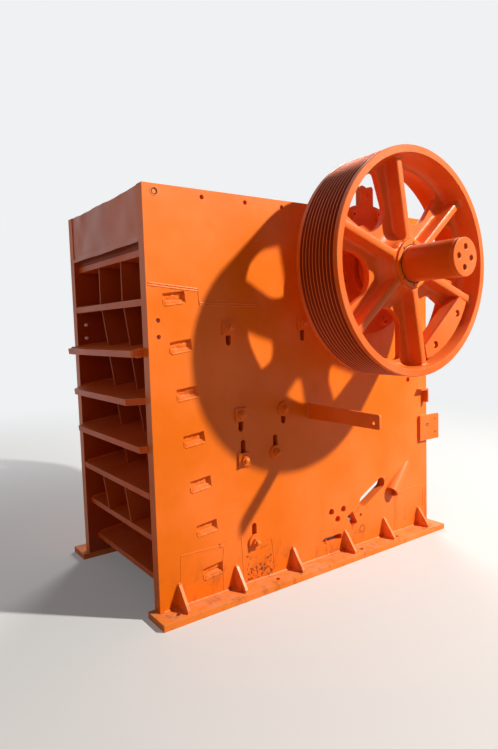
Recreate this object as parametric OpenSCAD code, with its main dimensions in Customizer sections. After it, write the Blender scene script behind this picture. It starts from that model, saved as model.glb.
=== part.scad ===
// Single-toggle jaw crusher, welded plate frame, standing on two foot flanges.
// The origin is in the foot plane, midway between the outer foot bolt holes.
// X runs from the ribbed front to the rear, -Y is the side of the drive shaft, Z is up.

/* [Frame] */
// Height of the side plates above the foot flanges
plate_h = 2450; // [2300:10:2600]
// Length of the side plates
plate_l = 2450; // [2400:10:2600]
// Thickness of the side plates
plate_t = 70; // [60:1:80]
// Width of the frame over the side plates
frame_w = 1230; // [1180:10:1330]

/* [Feet] */
// Thickness of the foot flanges
foot_t = 40; // [30:1:50]
// Reach of a foot flange outside its side plate
foot_out = 135; // [120:1:150]
// Reach of a foot flange past both ends of the side plate
foot_over = 45; // [30:1:60]
// Radius of the foot bolt holes
foot_hole_r = 17; // [12:1:20]
// Distance of the foot bolts from the side plate
foot_bolt_out = 68; // [60:1:75]
// Distance from the plate's front edge to the first foot bolt
foot_bolt_1 = 75; // [70:1:80]
// Distance from the plate's front edge to the second foot bolt
foot_bolt_2 = 812; // [800:1:820]
// Distance from the plate's front edge to the third foot bolt
foot_bolt_3 = 1595; // [1590:1:1600]
// Distance from the plate's front edge to the last foot bolt
foot_bolt_4 = 1987; // [1980:1:1995]
// Height of the triangular foot gussets
foot_gusset_h = 142; // [120:1:160]
// Thickness of the foot gussets
foot_gusset_t = 20; // [16:1:25]

/* [Front] */
// Lean of the front plate away from upright, in degrees
front_lean = 6.73; // [6:0.01:7.5]
// Thickness of the front plate
front_plate_t = 50; // [40:1:55]
// Distance from the plate's front edge to the front plate, level with the first rib
front_plate_x = 300; // [290:1:310]
// Thickness of the front ribs
rib_t = 40; // [30:1:45]
// Distance between the front ribs
rib_pitch = 277; // [270:1:285]
// Height of the first rib's slot above the foot flange
rib_1_z = 1819; // [1800:1:1840]
// Distance from the plate's front edge to the middle of the first slot
rib_1_x = 173; // [165:1:180]
// Length of the slots in the side plates
slot_l = 143; // [135:1:150]
// Height of the slots in the side plates
slot_h = 70; // [65:1:75]
// Distance that the rib tabs stop short of the plate's outer face
tab_short = 24; // [15:1:30]
// Thickness of the gussets between the ribs
gusset_t = 16; // [12:1:20]
// Depth of the gussets in front of the front plate
gusset_d = 250; // [240:1:260]
// Height of the panel that closes the top of the front
panel_h = 302; // [290:1:320]
// Thickness of that panel
panel_t = 16; // [12:1:20]
// Distance of the panel behind the plate's front edge
panel_in = 10; // [5:1:15]
// Gap between the panel and the ledge under it
ledge_gap = 43; // [35:1:50]
// Distance of the ledge behind the plate's front edge
ledge_in = 36; // [30:1:42]
// Root gap of the welds on slanting edges
weld_gap = 0.05; // [0.02:0.01:0.1]

/* [Crushing chamber] */
// Opening between the jaws at the top
gape = 762; // [740:1:780]
// Opening between the jaws at the bottom
setting = 130; // [110:1:140]
// Height of the top of the jaw dies
die_top_z = 2300; // [2280:1:2320]
// Height of the bottom of the jaw dies
die_low_z = 300; // [290:1:320]
// Thickness of the jaw dies over their teeth
die_t = 90; // [80:1:95]
// Depth of the teeth of the jaw dies
tooth_d = 34; // [28:1:38]
// Number of teeth across a jaw die
teeth = 12; // [10:1:13]
// Thickness of the cheek plates
cheek_t = 22; // [18:1:24]
// Gap between the cheek plates and the dies
cheek_gap = 10; // [8:1:12]
// Gap behind the dies, where they bear on backing
die_gap = 0.3; // [0.1:0.1:0.5]
// Radius of the swing jaw's barrel
barrel_r = 330; // [320:1:340]
// Width of the pockets in the swing jaw's back
pocket_w = 240; // [200:10:250]
// Spacing of the pockets
pocket_pitch = 300; // [270:10:310]
// Room at each end of the toggle plate
toggle_side_room = 120; // [100:10:140]

/* [Clamps] */
// Width of the slots for the clamp bolts
clamp_slot_w = 36; // [32:1:40]
// Radius of the clamp bolts
clamp_bolt_r = 15; // [12:1:16]
// Width of the square washers
washer_w = 86; // [80:1:90]
// Radius of the round washers
washer_r = 48; // [45:1:50]
// Thickness of the washers
washer_t = 14; // [10:1:18]
// Radius of the clamp nuts over their corners
clamp_head_r = 27; // [25:1:30]
// Thickness of the clamp nuts
clamp_head_t = 20; // [16:1:24]

/* [Plate holes] */
// Radius of the hopper bolt holes
hopper_hole_r = 14; // [12:1:16]
// Distance of the hopper bolt holes below the plate's top edge
hopper_hole_down = 43; // [40:1:50]
// Radius of the two bolt holes near the front edge
edge_hole_r = 13; // [11:1:15]
// Radius of the three round holes low on the plate
low_hole_r = 24; // [20:1:26]

/* [Rear] */
// Radius of the tie between the side plates
tie_r = 110; // [100:1:115]
// Radius of the tie's bore
tie_bore_r = 85; // [80:1:90]
// Distance of the tie below the plate's top edge
tie_down = 220; // [200:1:240]
// Distance of the tie from the plate's rear edge
tie_in = 190; // [170:1:210]
// Height of the rear beam
beam_h = 460; // [440:10:480]
// Wall of the rear beam
beam_wall = 40; // [30:1:45]
// Radius of the tension rods
rod_r = 18; // [15:1:20]
// Radius of the tension springs, to the middle of the wire
spring_r = 52; // [48:1:55]
// Radius of the spring wire
spring_wire = 11; // [9:1:12]
// Number of turns of a spring
spring_turns = 7; // [6:1:8]

/* [Shaft] */
// Distance from the plate's front edge to the shaft
shaft_x = 1577; // [1560:1:1590]
// Height of the shaft above the foot flange
shaft_z = 2010; // [2000:1:2020]
// Radius of the shaft at its drive end
shaft_r = 114; // [108:1:116]
// Radius of the shaft in its hubs
seat_r = 118; // [117:1:122]
// Radius of the shaft in its bearings
bearing_r = 130; // [125:1:135]
// Radius of the eccentric part of the shaft
eccentric_r = 150; // [145:1:155]
// Throw of the eccentric
throw = 18; // [12:1:20]
// Reach of the drive end past the flywheel's face
stub_l = 324; // [300:1:350]
// Thickness of the disc on the drive end
cap_t = 27; // [20:1:30]
// Radius of the bolt recesses in that disc
cap_hole_r = 18; // [14:1:20]

/* [Bearings] */
// Radius of the bearing housings
housing_r = 437; // [430:1:440]
// Depth of the bearing housings
housing_d = 185; // [175:1:190]
// Radius of the bolted bearing covers
cover_r = 300; // [280:1:310]
// Thickness of the bearing covers
cover_t = 30; // [25:1:34]
// Thickness of the lifting lugs
lug_t = 45; // [40:1:50]
// Width of the lifting lugs
lug_w = 124; // [115:1:140]
// Height of the lifting lugs over their housings
lug_h = 125; // [115:1:135]
// Running clearance of the shaft in its housings
run_gap = 0.3; // [0.2:0.05:0.5]
// Clearance of the shaft in its hubs
hub_gap = 0.1; // [0.05:0.05:0.3]

/* [Flywheels] */
// Radius of the flywheels
wheel_r = 713; // [700:1:725]
// Width of the flywheel rims
rim_w = 345; // [335:1:355]
// Thickness of the flywheel rims
rim_t = 47; // [44:1:50]
// Gap between the side plate and the flywheel
wheel_gap = 265; // [258:1:280]
// Number of belt grooves
grooves = 10; // [9:1:10]
// Distance between the belt grooves
groove_pitch = 28.6; // [28:0.1:29]
// Depth of the belt grooves
groove_d = 24; // [20:1:27]
// Radius of the hubs
hub_r = 165; // [160:1:170]
// Distance of a hub's end behind the wheel's outer face
hub_end_in = 60; // [50:1:65]
// Thickness of the webs
web_t = 45; // [40:1:50]
// Distance of the web behind the wheel's outer face
web_in = 150; // [145:1:155]
// Thickness of the spoke fins
fin_t = 50; // [44:1:54]
// Distance of the fins behind the wheel's outer face
fin_in = 52; // [45:1:60]
// Angle of the first spoke past upright, in degrees
wheel_turn = 10.5; // [0:0.5:12]
// Distance of the web openings inside the rim
opening_in = 55; // [45:1:65]
// Distance of a counterweight inside the rim
weight_room = 40; // [30:1:45]
// Depth of a counterweight from its outer to its inner edge
weight_depth = 146; // [130:1:160]
// Distance of a counterweight's bolts inside its outer edge
weight_bolt_in = 54; // [45:1:60]
// Radius of the bolt recesses in a counterweight
weight_hole_r = 25; // [20:1:27]
// Gap between a counterweight and the fins beside it
weight_gap = 2; // [1:0.5:4]

/* [Arm and brackets] */
// Distance from the plate's front edge to the guard arm
arm_x = 1177; // [1165:1:1185]
// Height of the arm's lower edge above the foot flange
arm_z = 1008; // [1000:1:1015]
// Reach of the arm outside the plate
arm_l = 636; // [600:1:650]
// Height of the arm
arm_h = 92; // [85:1:100]
// Thickness of the arm
arm_t = 18; // [14:1:20]
// Radius of the guard bolt hole in the arm
guard_hole_r = 11; // [9:1:13]
// Distance of the guard bolt hole from the arm's end
guard_hole_in = 48; // [40:1:55]
// Width of the bolting plate at the rear edge
bracket_w = 235; // [220:1:245]
// Height of that plate
bracket_h = 204; // [195:1:210]
// Thickness of that plate
bracket_t = 22; // [18:1:25]
// Height of that plate's lower edge above the foot flange
bracket_z = 686; // [680:1:700]
// Radius of its bolt holes
bracket_hole_r = 9; // [7:1:10]
// Distance between its bolt holes
bracket_pitch = 105; // [95:1:110]
// Radius of the pipe stub
stub_r = 52; // [48:1:55]
// Radius of its bore
stub_bore_r = 40; // [36:1:42]

/* [Hidden] */
$fn = 64;

// Colours of the paint and of the bare steel
orange = [0.93, 0.38, 0.09];
shade_orange = [0.78, 0.27, 0.06];
bare_steel = [0.42, 0.36, 0.33];

// Small overlap that lets cuts pass right through a face
cut = 1;

// Frame: the plate's front edge and the foot plane, seen from the origin
front_x = -(foot_bolt_1 + foot_bolt_4) / 2;
in_w = frame_w - 2 * plate_t;
half_w = frame_w / 2;
half_in = in_w / 2;
lean_tan = tan(front_lean);

// Front: middle of each rib's slot, how far its front edge stands out, and its corner cuts
rib_x = [for (i = [0:6]) rib_1_x + i * rib_pitch * lean_tan];
rib_z = [for (i = [0:6]) rib_1_z - i * rib_pitch];
rib_out = [0, 75, 80, 40, 0, -38, -75];
rib_corner = [[0, 0], [8, 6], [80, 105], [34, 30], [8, 14], [0, 0], [0, 0]];
tab_gap = (slot_h - rib_t) / 2;
ledge_z = plate_h - panel_h - ledge_gap - rib_t;
top_bay_front = ledge_in + 6;
gusset_y = in_w / 6;

// Chamber: faces of the jaws at their top and bottom
fixed_top_x = plate_front(die_top_z) + (front_plate_t + die_gap + die_t) / cos(front_lean);
fixed_low_x = fixed_top_x + (die_top_z - die_low_z) * lean_tan;
swing_top_x = fixed_top_x + gape;
swing_low_x = fixed_low_x + setting;
die_w = in_w - 2 * cheek_t - 2 * cheek_gap;
swing_lean = atan2(swing_top_x - swing_low_x, die_top_z - die_low_z);
die_h = die_top_z - die_low_z;

// Swing jaw: corners of its back, heel and nose, and of the pockets, in X and Z
jaw_shoulder = [60, 8];
jaw_hip = [240, 224];
jaw_back = [[1560, 1200], [1400, 700]];
jaw_heel = [[1395, 175], [1395, 105], [1300, 105], [1100, 190]];
jaw_tail_z = [470, 250];
nose = [60, 40];
pocket = [[1210, 1540], [1800, 1500], [1700, 760], [1100, 700]];
eye_room = [1290, 60, 160, 170];
toggle_room = 14;
seat_gap = 0.3;

// Toggle and tension rods: all lie along one slope
toggle_slope = 28;
toggle_front = [1290, 335];
toggle_len = 668;
toggle_back = toggle_front + toggle_len * [cos(toggle_slope), sin(toggle_slope)];
toggle_end_r = 38;
toggle_t = 52;
block_half = 120;
block_reach = 190;
spring_mid = [1797, 372];
spring_len = 330;
spring_seat_t = 24;
rod_y = half_in - 110;
rod_front = 500;
rod_back = 250;
rod_eye_r = 42;
rod_eye_w = 60;

// Plates: places of the holes and slots, as X and Z from the plate's front bottom corner
hopper_hole_x = [75, 381, 690, 980];
edge_hole_x = 66;
edge_hole_z = [1601, 1694];
low_holes = [[1371, 306], [1490, 304], [1431, 242]];
small_hole = [1669, 222];
rear_hole = [2222, 1194];
pipe_hole = [2214, 512];
low_slot = [1376, 109, 187, 44];
spring_window = [300, 84];
block_hole = [1580, 206, 62, 106];

// Clamps: place across, height of the slot's open end, height of the bolt, square washer
clamps = [
    [535, 1533, 1638, true],
    [1132, 1540, 1656, true],
    [608, 990, 1098, true],
    [951, 1000, 1098, false],
    [621, 936, 812, true],
    [878, 936, 819, false],
    [688, 384, 264, false]
];

// Wheels: outer face seen from the frame's middle
wheel_out = half_w + wheel_gap + rim_w;
hub_in_gap = 28;
spokes = 6;
fin_flare = 34;
ring_t = 20;
ring_r = 150;
housing_face = half_w + housing_d;

// Web openings: distance of their sides from the spokes' middle, middle of their round inner ends
opening_edge = 75;
opening_c = 446;
opening_corner = 70;

// Counterweights: outer and inner radius, and radius of the bolt circle
weight_r = wheel_r - rim_t - weight_room;
weight_in = weight_r - weight_depth;
weight_bolt_r = weight_r - weight_bolt_in;
weight_bolt_a = 16;

// Disc on the shaft's drive end: bolt circle and the angle that it is turned by
cap_bolt_r = 60;
cap_turn = -4;

// Rear edge of the near plate: how far the bolting plate and the small angle lap over the plate
bracket_lap = 105;
bracket_hole_x = 188;
bracket_hole_z = 57;
angle_z = 1098;
angle_lap = 120;
angle_size = [90, 45, 98];
angle_t = 12;

// Pipe stub: where its axis meets the plate, its slopes and its reach
stub_at = [1990, 338];
stub_rise = 38;
stub_swing = 12;
stub_reach = 300;

// Distance from the plate's front edge to the front plate, at a height
function plate_front(z) = front_plate_x + (rib_1_z - z) * lean_tan;

// Points on an arc
function arc(c, r, a, b, n) = [for (i = [0:n]) c + r * [cos(a + (b - a) * i / n), sin(a + (b - a) * i / n)]];

// Puts what is drawn from the plate's front bottom corner into the part's own frame
module from_corner() {
    translate([front_x, 0, foot_t]) children();
}

// Puts a flat outline drawn in X and Z into a plate of thickness t, from y outwards in -Y
module upright(y, t) {
    translate([0, y, 0]) rotate([90, 0, 0]) linear_extrude(t) children();
}

// A round hole through the side plate
module plate_hole(x, z, r) {
    translate([x, 0, z]) rotate([90, 0, 0]) cylinder(r = r, h = plate_t + 2 * cut, center = true);
}

// A slot with round ends through the side plate, turned by a
module plate_slot(x, z, length, width, a) {
    straight = length - width;
    translate([x, 0, z]) rotate([90, 0, 0]) rotate([0, 0, a]) {
        for (s = [-1, 1]) translate([s * straight / 2, 0, 0])
            cylinder(r = width / 2, h = plate_t + 2 * cut, center = true);
        cube([straight, width, plate_t + 2 * cut], center = true);
    }
}

// One side plate with its outer face at y = 0 and its thickness towards +Y
module side_plate() {
    difference() {
        cube([plate_l, plate_t, plate_h]);
        translate([0, plate_t / 2, 0]) {
            for (i = [0:6]) translate([rib_x[i], 0, rib_z[i]]) rotate([0, -front_lean, 0])
                cube([slot_l, plate_t + 2 * cut, slot_h], center = true);
            for (x = hopper_hole_x) plate_hole(x, plate_h - hopper_hole_down, hopper_hole_r);
            for (z = edge_hole_z) plate_hole(edge_hole_x, z, edge_hole_r);
            for (s = clamps) plate_slot(
                s[0], (s[1] + s[2] + sign(s[2] - s[1]) * clamp_slot_w / 2) / 2,
                abs(s[2] - s[1]) + clamp_slot_w / 2, clamp_slot_w, 90
            );
            for (p = low_holes) plate_hole(p[0], p[1], low_hole_r);
            plate_hole(small_hole[0], small_hole[1], 12);
            plate_hole(rear_hole[0], rear_hole[1], 20);
            plate_hole(pipe_hole[0], pipe_hole[1], 28);
            plate_slot(low_slot[0], low_slot[1], low_slot[2], low_slot[3], 0);
            plate_slot(spring_mid[0], spring_mid[1], spring_window[0], spring_window[1], toggle_slope);
            translate([block_hole[0], 0, block_hole[1]]) rotate([0, -toggle_slope, 0])
                cube([block_hole[2], plate_t + 2 * cut, block_hole[3]], center = true);
            plate_hole(shaft_x, shaft_z, eccentric_r + throw + 12);
        }
    }
}

module side_plate_near() {
    color(orange) from_corner() translate([0, -half_w, 0]) side_plate();
}

module side_plate_far() {
    color(orange) from_corner() mirror([0, 1, 0]) translate([0, -half_w, 0]) side_plate();
}

// Foot flange with its triangular gussets, for the side plate whose outer face is at y = 0
module foot_flange() {
    foot_l = plate_l + 2 * foot_over;
    gusset_x = [130, 540, 1005, plate_l - 950, plate_l - 530, plate_l - 120];
    difference() {
        translate([-foot_over, -foot_out, -foot_t]) cube([foot_l, foot_out + plate_t, foot_t]);
        for (x = [foot_bolt_1, foot_bolt_2, foot_bolt_3, foot_bolt_4])
            translate([x, -foot_bolt_out, -foot_t - cut]) cylinder(r = foot_hole_r, h = foot_t + 2 * cut);
    }
    for (x = gusset_x) translate([x - foot_gusset_t / 2, 0, 0]) rotate([90, 0, 90])
        linear_extrude(foot_gusset_t)
            polygon([
                [0, 0], [0, foot_gusset_h], [-14, foot_gusset_h],
                [-foot_out + 25, 18], [-foot_out + 25, 0]
            ]);
}

module foot_flange_near() {
    color(orange) from_corner() translate([0, -half_w, 0]) foot_flange();
}

module foot_flange_far() {
    color(orange) from_corner() mirror([0, 1, 0]) translate([0, -half_w, 0]) foot_flange();
}

// Front panel, a thin plate between the side plates
module front_panel() {
    color(orange) from_corner()
        translate([panel_in, -half_in, plate_h - panel_h]) cube([panel_t, in_w, panel_h]);
}

// Ledge below the front panel, set back from it, which runs back to the front plate
module front_ledge() {
    top_z = ledge_z + rib_t;
    color(orange) from_corner() upright(half_in, in_w)
        polygon([
            [ledge_in, ledge_z], [ledge_in, top_z],
            [plate_front(top_z) - weld_gap, top_z], [plate_front(ledge_z) - weld_gap, ledge_z]
        ]);
}

// Leaning front plate, which carries the fixed jaw die
module front_plate() {
    top_z = plate_h - 60;
    low_z = 70;
    back = front_plate_t / cos(front_lean);
    color(orange) from_corner() upright(half_in, in_w)
        polygon([
            [plate_front(top_z), top_z], [plate_front(top_z) + back, top_z],
            [plate_front(low_z) + back, low_z], [plate_front(low_z), low_z]
        ]);
}

// Front rib i, with tabs that pass into the slots of the side plates
module front_rib(i) {
    run = rib_x[i] + rib_out[i];
    front = -run / cos(front_lean);
    back = (plate_front(rib_z[i]) - rib_x[i]) * cos(front_lean) - weld_gap;
    cut_x = rib_corner[i][0];
    cut_y = rib_corner[i][1];
    tab_l = slot_l - 2 * tab_gap;
    color(orange) from_corner() translate([rib_x[i], 0, rib_z[i]]) rotate([0, -front_lean, 0])
        translate([0, 0, -rib_t / 2]) {
            linear_extrude(rib_t)
                polygon(cut_x > 0 ? [
                    [back, -half_in], [back, half_in],
                    [front + cut_x, half_in], [front, half_in - cut_y],
                    [front, -half_in + cut_y], [front + cut_x, -half_in]
                ] : [[back, -half_in], [back, half_in], [front, half_in], [front, -half_in]]);
            translate([-tab_l / 2, -half_w + tab_short, 0]) cube([tab_l, frame_w - 2 * tab_short, rib_t]);
        }
}

module front_rib_1() { front_rib(0); }
module front_rib_2() { front_rib(1); }
module front_rib_3() { front_rib(2); }
module front_rib_4() { front_rib(3); }
module front_rib_5() { front_rib(4); }
module front_rib_6() { front_rib(5); }
module front_rib_7() { front_rib(6); }

// Height of a rib's middle plane at a distance x from the plate's front edge
function rib_mid(i, x) = rib_z[i] + (x - rib_x[i]) * lean_tan;

// Distance from the plate's front edge at which a rib's face meets the front plate
function rib_back(i, up) =
    let (z = rib_z[i] - rib_x[i] * lean_tan + up)
    (front_plate_x + (rib_1_z - z) * lean_tan) / (1 + lean_tan * lean_tan);

// Upright gussets between the ribs, one to each bay, in the plane y
module front_gussets(y) {
    half_rib = rib_t / 2 / cos(front_lean) + weld_gap;
    from_corner() for (bay = [0:5]) {
        deep = bay < 5;
        upper_front = bay == 0 ? top_bay_front : deep ? plate_front(rib_z[bay - 1]) - gusset_d : 0;
        lower_front = bay == 0 ? top_bay_front : deep ? plate_front(rib_z[bay]) - gusset_d : -rib_out[5] - 6;
        back_up = (bay == 0 ? plate_front(ledge_z) : rib_back(bay - 1, -half_rib)) - weld_gap;
        back_low = rib_back(bay, half_rib) - weld_gap;
        top_front = bay == 0 ? ledge_z : rib_mid(bay - 1, upper_front) - half_rib;
        top_back = bay == 0 ? ledge_z : rib_mid(bay - 1, back_up) - half_rib;
        upright(y + gusset_t / 2, gusset_t)
            polygon([
                [upper_front, top_front], [back_up, top_back],
                [back_low, rib_mid(bay, back_low) + half_rib],
                [lower_front, rib_mid(bay, lower_front) + half_rib]
            ]);
    }
}

module front_gussets_near() { color(shade_orange) front_gussets(-gusset_y); }
module front_gussets_far() { color(shade_orange) front_gussets(gusset_y); }

// Outline of a corrugated die across its width: flat back at x = 0, teeth towards -x
function die_outline() = concat(
    [[0, -die_w / 2]],
    [for (i = [0:teeth - 1]) each let (p = die_w / teeth, y = -die_w / 2 + i * p) [
        [-die_t + tooth_d, y], [-die_t + tooth_d, y + 0.14 * p],
        [-die_t, y + 0.36 * p], [-die_t, y + 0.64 * p],
        [-die_t + tooth_d, y + 0.86 * p], [-die_t + tooth_d, y + p]
    ]],
    [[0, die_w / 2]]
);

module fixed_jaw_die() {
    back_x = plate_front(die_low_z) + (front_plate_t + die_gap) / cos(front_lean);
    color(bare_steel) from_corner() translate([back_x, 0, die_low_z]) rotate([0, -front_lean, 0])
        linear_extrude(die_h / cos(front_lean)) mirror([1, 0, 0]) polygon(die_outline());
}

// Swing jaw die, flat back against the swing jaw
module swing_jaw_die() {
    back_x = swing_low_x + die_t / cos(swing_lean);
    color(bare_steel) from_corner() translate([back_x, 0, die_low_z]) rotate([0, swing_lean, 0])
        linear_extrude(die_h / cos(swing_lean)) polygon(die_outline());
}

// Front face of the swing jaw's body at a height
function swing_back(z) = swing_low_x + (die_t + die_gap) / cos(swing_lean)
    + (z - die_low_z) * tan(swing_lean);

// Swing jaw: barrel round the eccentric, body behind the die, tail with the toggle seat
module swing_jaw() {
    bore_r = eccentric_r + throw + 7;
    jaw_w = die_w - 20;
    body_w = in_w - 2 * 30;
    head_z = die_top_z + 110;
    tail_x = toggle_front[0] + 40;
    low_x = swing_back(die_low_z);
    color(orange) from_corner() difference() {
        union() {
            translate([shaft_x, 0, shaft_z]) rotate([90, 0, 0])
                cylinder(r = barrel_r, h = body_w, center = true, $fn = 96);
            upright(jaw_w / 2, jaw_w) polygon(concat(
                [[swing_back(head_z), head_z], [swing_back(head_z) + nose[0], head_z]],
                [[shaft_x - jaw_shoulder[0], shaft_z + barrel_r - jaw_shoulder[1]]],
                [[shaft_x + jaw_hip[0], shaft_z - jaw_hip[1]]],
                jaw_back, [for (z = jaw_tail_z) [tail_x, z]], jaw_heel,
                [[low_x + nose[0], die_low_z - nose[1]], [low_x - nose[0], die_low_z - nose[1]]],
                [[low_x - nose[0], die_low_z], [low_x, die_low_z]]
            ));
        }
        translate([shaft_x, 0, shaft_z]) rotate([90, 0, 0])
            cylinder(r = bore_r, h = in_w + 2 * cut, center = true);
        for (s = [-1, 1]) translate([eye_room[0], s * rod_y - 45, eye_room[1]])
            cube([eye_room[2], 90, eye_room[3]]);
        for (y = [-pocket_pitch, 0, pocket_pitch]) upright(y + pocket_w / 2, pocket_w) polygon(pocket);
        translate([toggle_front[0], 0, toggle_front[1]]) toggle_seat();
    }
}

// Seat for one end of the toggle plate, cut out of what carries it, open towards +x
module toggle_seat() {
    rotate([90, 0, 0]) cylinder(r = toggle_end_r + seat_gap, h = in_w, center = true);
    rotate([0, -toggle_slope, 0]) translate([0, -half_in, -toggle_t / 2 - toggle_room])
        cube([200, in_w, toggle_t + 2 * toggle_room]);
}

// Wedge that holds the swing jaw die at its top, resting on the die's upper end
module die_wedge() {
    wedge_h = 80;
    wedge_w = die_w - 60;
    die_l = die_h / cos(swing_lean);
    color(bare_steel) from_corner() translate([swing_back(die_low_z), 0, die_low_z])
        rotate([0, swing_lean, 0]) upright(wedge_w / 2, wedge_w) polygon([
            [-die_gap, die_l + weld_gap], [-die_t + 12, die_l + weld_gap],
            [-die_t + 34, die_l + wedge_h], [-die_gap, die_l + wedge_h]
        ]);
}

// Toggle plate between the swing jaw's tail and the toggle block
module toggle_plate() {
    toggle_w = in_w - 2 * toggle_side_room;
    color(shade_orange) from_corner() translate([toggle_front[0], 0, toggle_front[1]])
        rotate([0, -toggle_slope, 0]) {
            for (x = [0, toggle_len]) translate([x, 0, 0]) rotate([90, 0, 0])
                cylinder(r = toggle_end_r, h = toggle_w, center = true);
            translate([0, -toggle_w / 2, -toggle_t / 2]) cube([toggle_len, toggle_w, toggle_t]);
        }
}

// Toggle block, which slides in the rear beam
module toggle_block() {
    block_w = in_w - 200;
    color(shade_orange) from_corner() translate([toggle_back[0], 0, toggle_back[1]])
        difference() {
            translate([-30, -block_w / 2, -block_half]) cube([block_reach + 30, block_w, 2 * block_half]);
            rotate([0, 180, 0]) toggle_seat();
        }
}

// Rear beam: a welded box between the side plates, behind the toggle block
module rear_beam() {
    box_x = toggle_back[0] + block_reach;
    box_l = plate_l - 30 - box_x;
    box_low = toggle_back[1] - block_half - beam_wall;
    shelf_w = 2 * (rod_y - spring_r - 23);
    color(orange) from_corner() {
        difference() {
            translate([box_x, -half_in, box_low]) cube([box_l, in_w, beam_h]);
            for (s = [-1, 1])
                translate([box_x + beam_wall, (s - 1) * in_w / 4 + beam_wall / 2, box_low + beam_wall])
                    cube([box_l, in_w / 2 - beam_wall, beam_h - 2 * beam_wall]);
        }
        for (z = [box_low, toggle_back[1] + block_half]) translate([toggle_back[0] - 20, -shelf_w / 2, z])
            cube([block_reach + 20, shelf_w, beam_wall]);
    }
}

// Round tie between the side plates at the top of the rear
module rear_tie() {
    color(orange) from_corner() translate([plate_l - tie_in, 0, plate_h - tie_down]) rotate([90, 0, 0])
        difference() {
            cylinder(r = tie_r, h = in_w, center = true);
            cylinder(r = tie_bore_r, h = in_w + 2 * cut, center = true);
        }
}

// Frame along a tension rod: x runs up the slope from the spring's middle
module along_rod(side) {
    from_corner() translate([spring_mid[0], side * rod_y, spring_mid[1]]) rotate([0, -toggle_slope, 0])
        children();
}

// Tension rods with their eyes, spring seats and nuts
module tension_rods() {
    seat_t = spring_seat_t;
    color(shade_orange) for (s = [-1, 1]) along_rod(s) {
        rotate([0, 90, 0]) translate([0, 0, -rod_front + 30])
            cylinder(r = rod_r, h = rod_front + rod_back - 30);
        translate([-rod_front, 0, 0]) rotate([90, 0, 0])
            cylinder(r = rod_eye_r, h = rod_eye_w, center = true);
        translate([spring_len / 2, 0, 0]) rotate([0, 90, 0]) cylinder(r = spring_r + 12, h = seat_t);
        translate([spring_len / 2 + seat_t, 0, 0]) rotate([0, 90, 0]) cylinder(r = 34, h = 34, $fn = 6);
        translate([-spring_len / 2 - seat_t, 0, 0]) rotate([0, 90, 0])
            cylinder(r = spring_r + 12, h = seat_t);
        translate([-spring_len / 2 - seat_t - 30, s < 0 ? rod_y - half_in : -60, -106])
            cube([30, half_in - rod_y + 60, 160]);
    }
}

// Coil springs on the tension rods
function coil_ring(t, turns, length) =
    let (a = 360 * turns * t, c = [length * t, spring_r * cos(a), spring_r * sin(a)])
    [for (k = [0:7]) let (b = 45 * k)
        c + spring_wire * [cos(b), sin(b) * cos(a), sin(b) * sin(a)]];

module coil(turns, length) {
    steps = turns * 14;
    points = [for (i = [0:steps]) each coil_ring(i / steps, turns, length)];
    sides = [for (i = [0:steps - 1], k = [0:7])
        [8 * i + k, 8 * i + (k + 1) % 8, 8 * (i + 1) + (k + 1) % 8, 8 * (i + 1) + k]];
    polyhedron(points, concat(
        sides, [[for (k = [7:-1:0]) k]], [[for (k = [0:7]) 8 * steps + k]]
    ));
}

module tension_springs() {
    length = spring_len - 2 * spring_wire;
    color(bare_steel) for (s = [-1, 1])
        along_rod(s) translate([-length / 2, 0, 0]) coil(spring_turns, length);
}

// Bearing housing on the outside of a side plate whose face is at y = 0
module bearing_housing() {
    notch = [11, 25];
    slot_r = 16;
    slot_down = 72;
    top = housing_r + lug_h;
    difference() {
        union() {
            rotate([90, 0, 0]) cylinder(r = housing_r, h = housing_d, $fn = 120);
            upright(-housing_d + lug_t, lug_t) polygon([
                [-lug_w / 2, housing_r - 60], [-lug_w / 2, top - 12], [-lug_w / 2 + 18, top],
                [-notch[0], top - 8], [0, top - notch[1]], [notch[0], top - 8],
                [lug_w / 2 - 14, top], [lug_w / 2, top - 14], [lug_w / 2, housing_r - 60]
            ]);
        }
        rotate([90, 0, 0]) translate([0, 0, -cut]) cylinder(r = bearing_r + run_gap, h = housing_d + 2 * cut);
        translate([0, -housing_d + lug_t / 2, top - slot_down]) rotate([90, 0, 0]) {
            for (z = [-8, 8]) translate([0, z, 0]) cylinder(r = slot_r, h = lug_t + 2 * cut, center = true);
            cube([2 * slot_r, 16, lug_t + 2 * cut], center = true);
        }
    }
}

module at_shaft(side) {
    from_corner() translate([shaft_x, 0, shaft_z])
        if (side < 0) children(); else mirror([0, 1, 0]) children();
}

module bearing_housing_near() { color(orange) at_shaft(-1) translate([0, -half_w, 0]) bearing_housing(); }
module bearing_housing_far() { color(orange) at_shaft(1) translate([0, -half_w, 0]) bearing_housing(); }

// Round bolted cover on a bearing housing
module bearing_cover() {
    difference() {
        union() {
            rotate([90, 0, 0]) cylinder(r = cover_r, h = cover_t, $fn = 96);
            rotate([90, 0, 0]) cylinder(r = 190, h = cover_t + 16, $fn = 96);
            for (a = [0:45:315]) rotate([0, a + 22.5, 0]) translate([cover_r - 32, 0, 0]) rotate([90, 0, 0])
                cylinder(r = 20, h = cover_t + 16, $fn = 6);
        }
        rotate([90, 0, 0]) translate([0, 0, -cut]) cylinder(r = bearing_r + run_gap, h = cover_t + 20);
    }
}

module bearing_cover_near() { color(orange) at_shaft(-1) translate([0, -housing_face, 0]) bearing_cover(); }
module bearing_cover_far() { color(orange) at_shaft(1) translate([0, -housing_face, 0]) bearing_cover(); }

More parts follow.
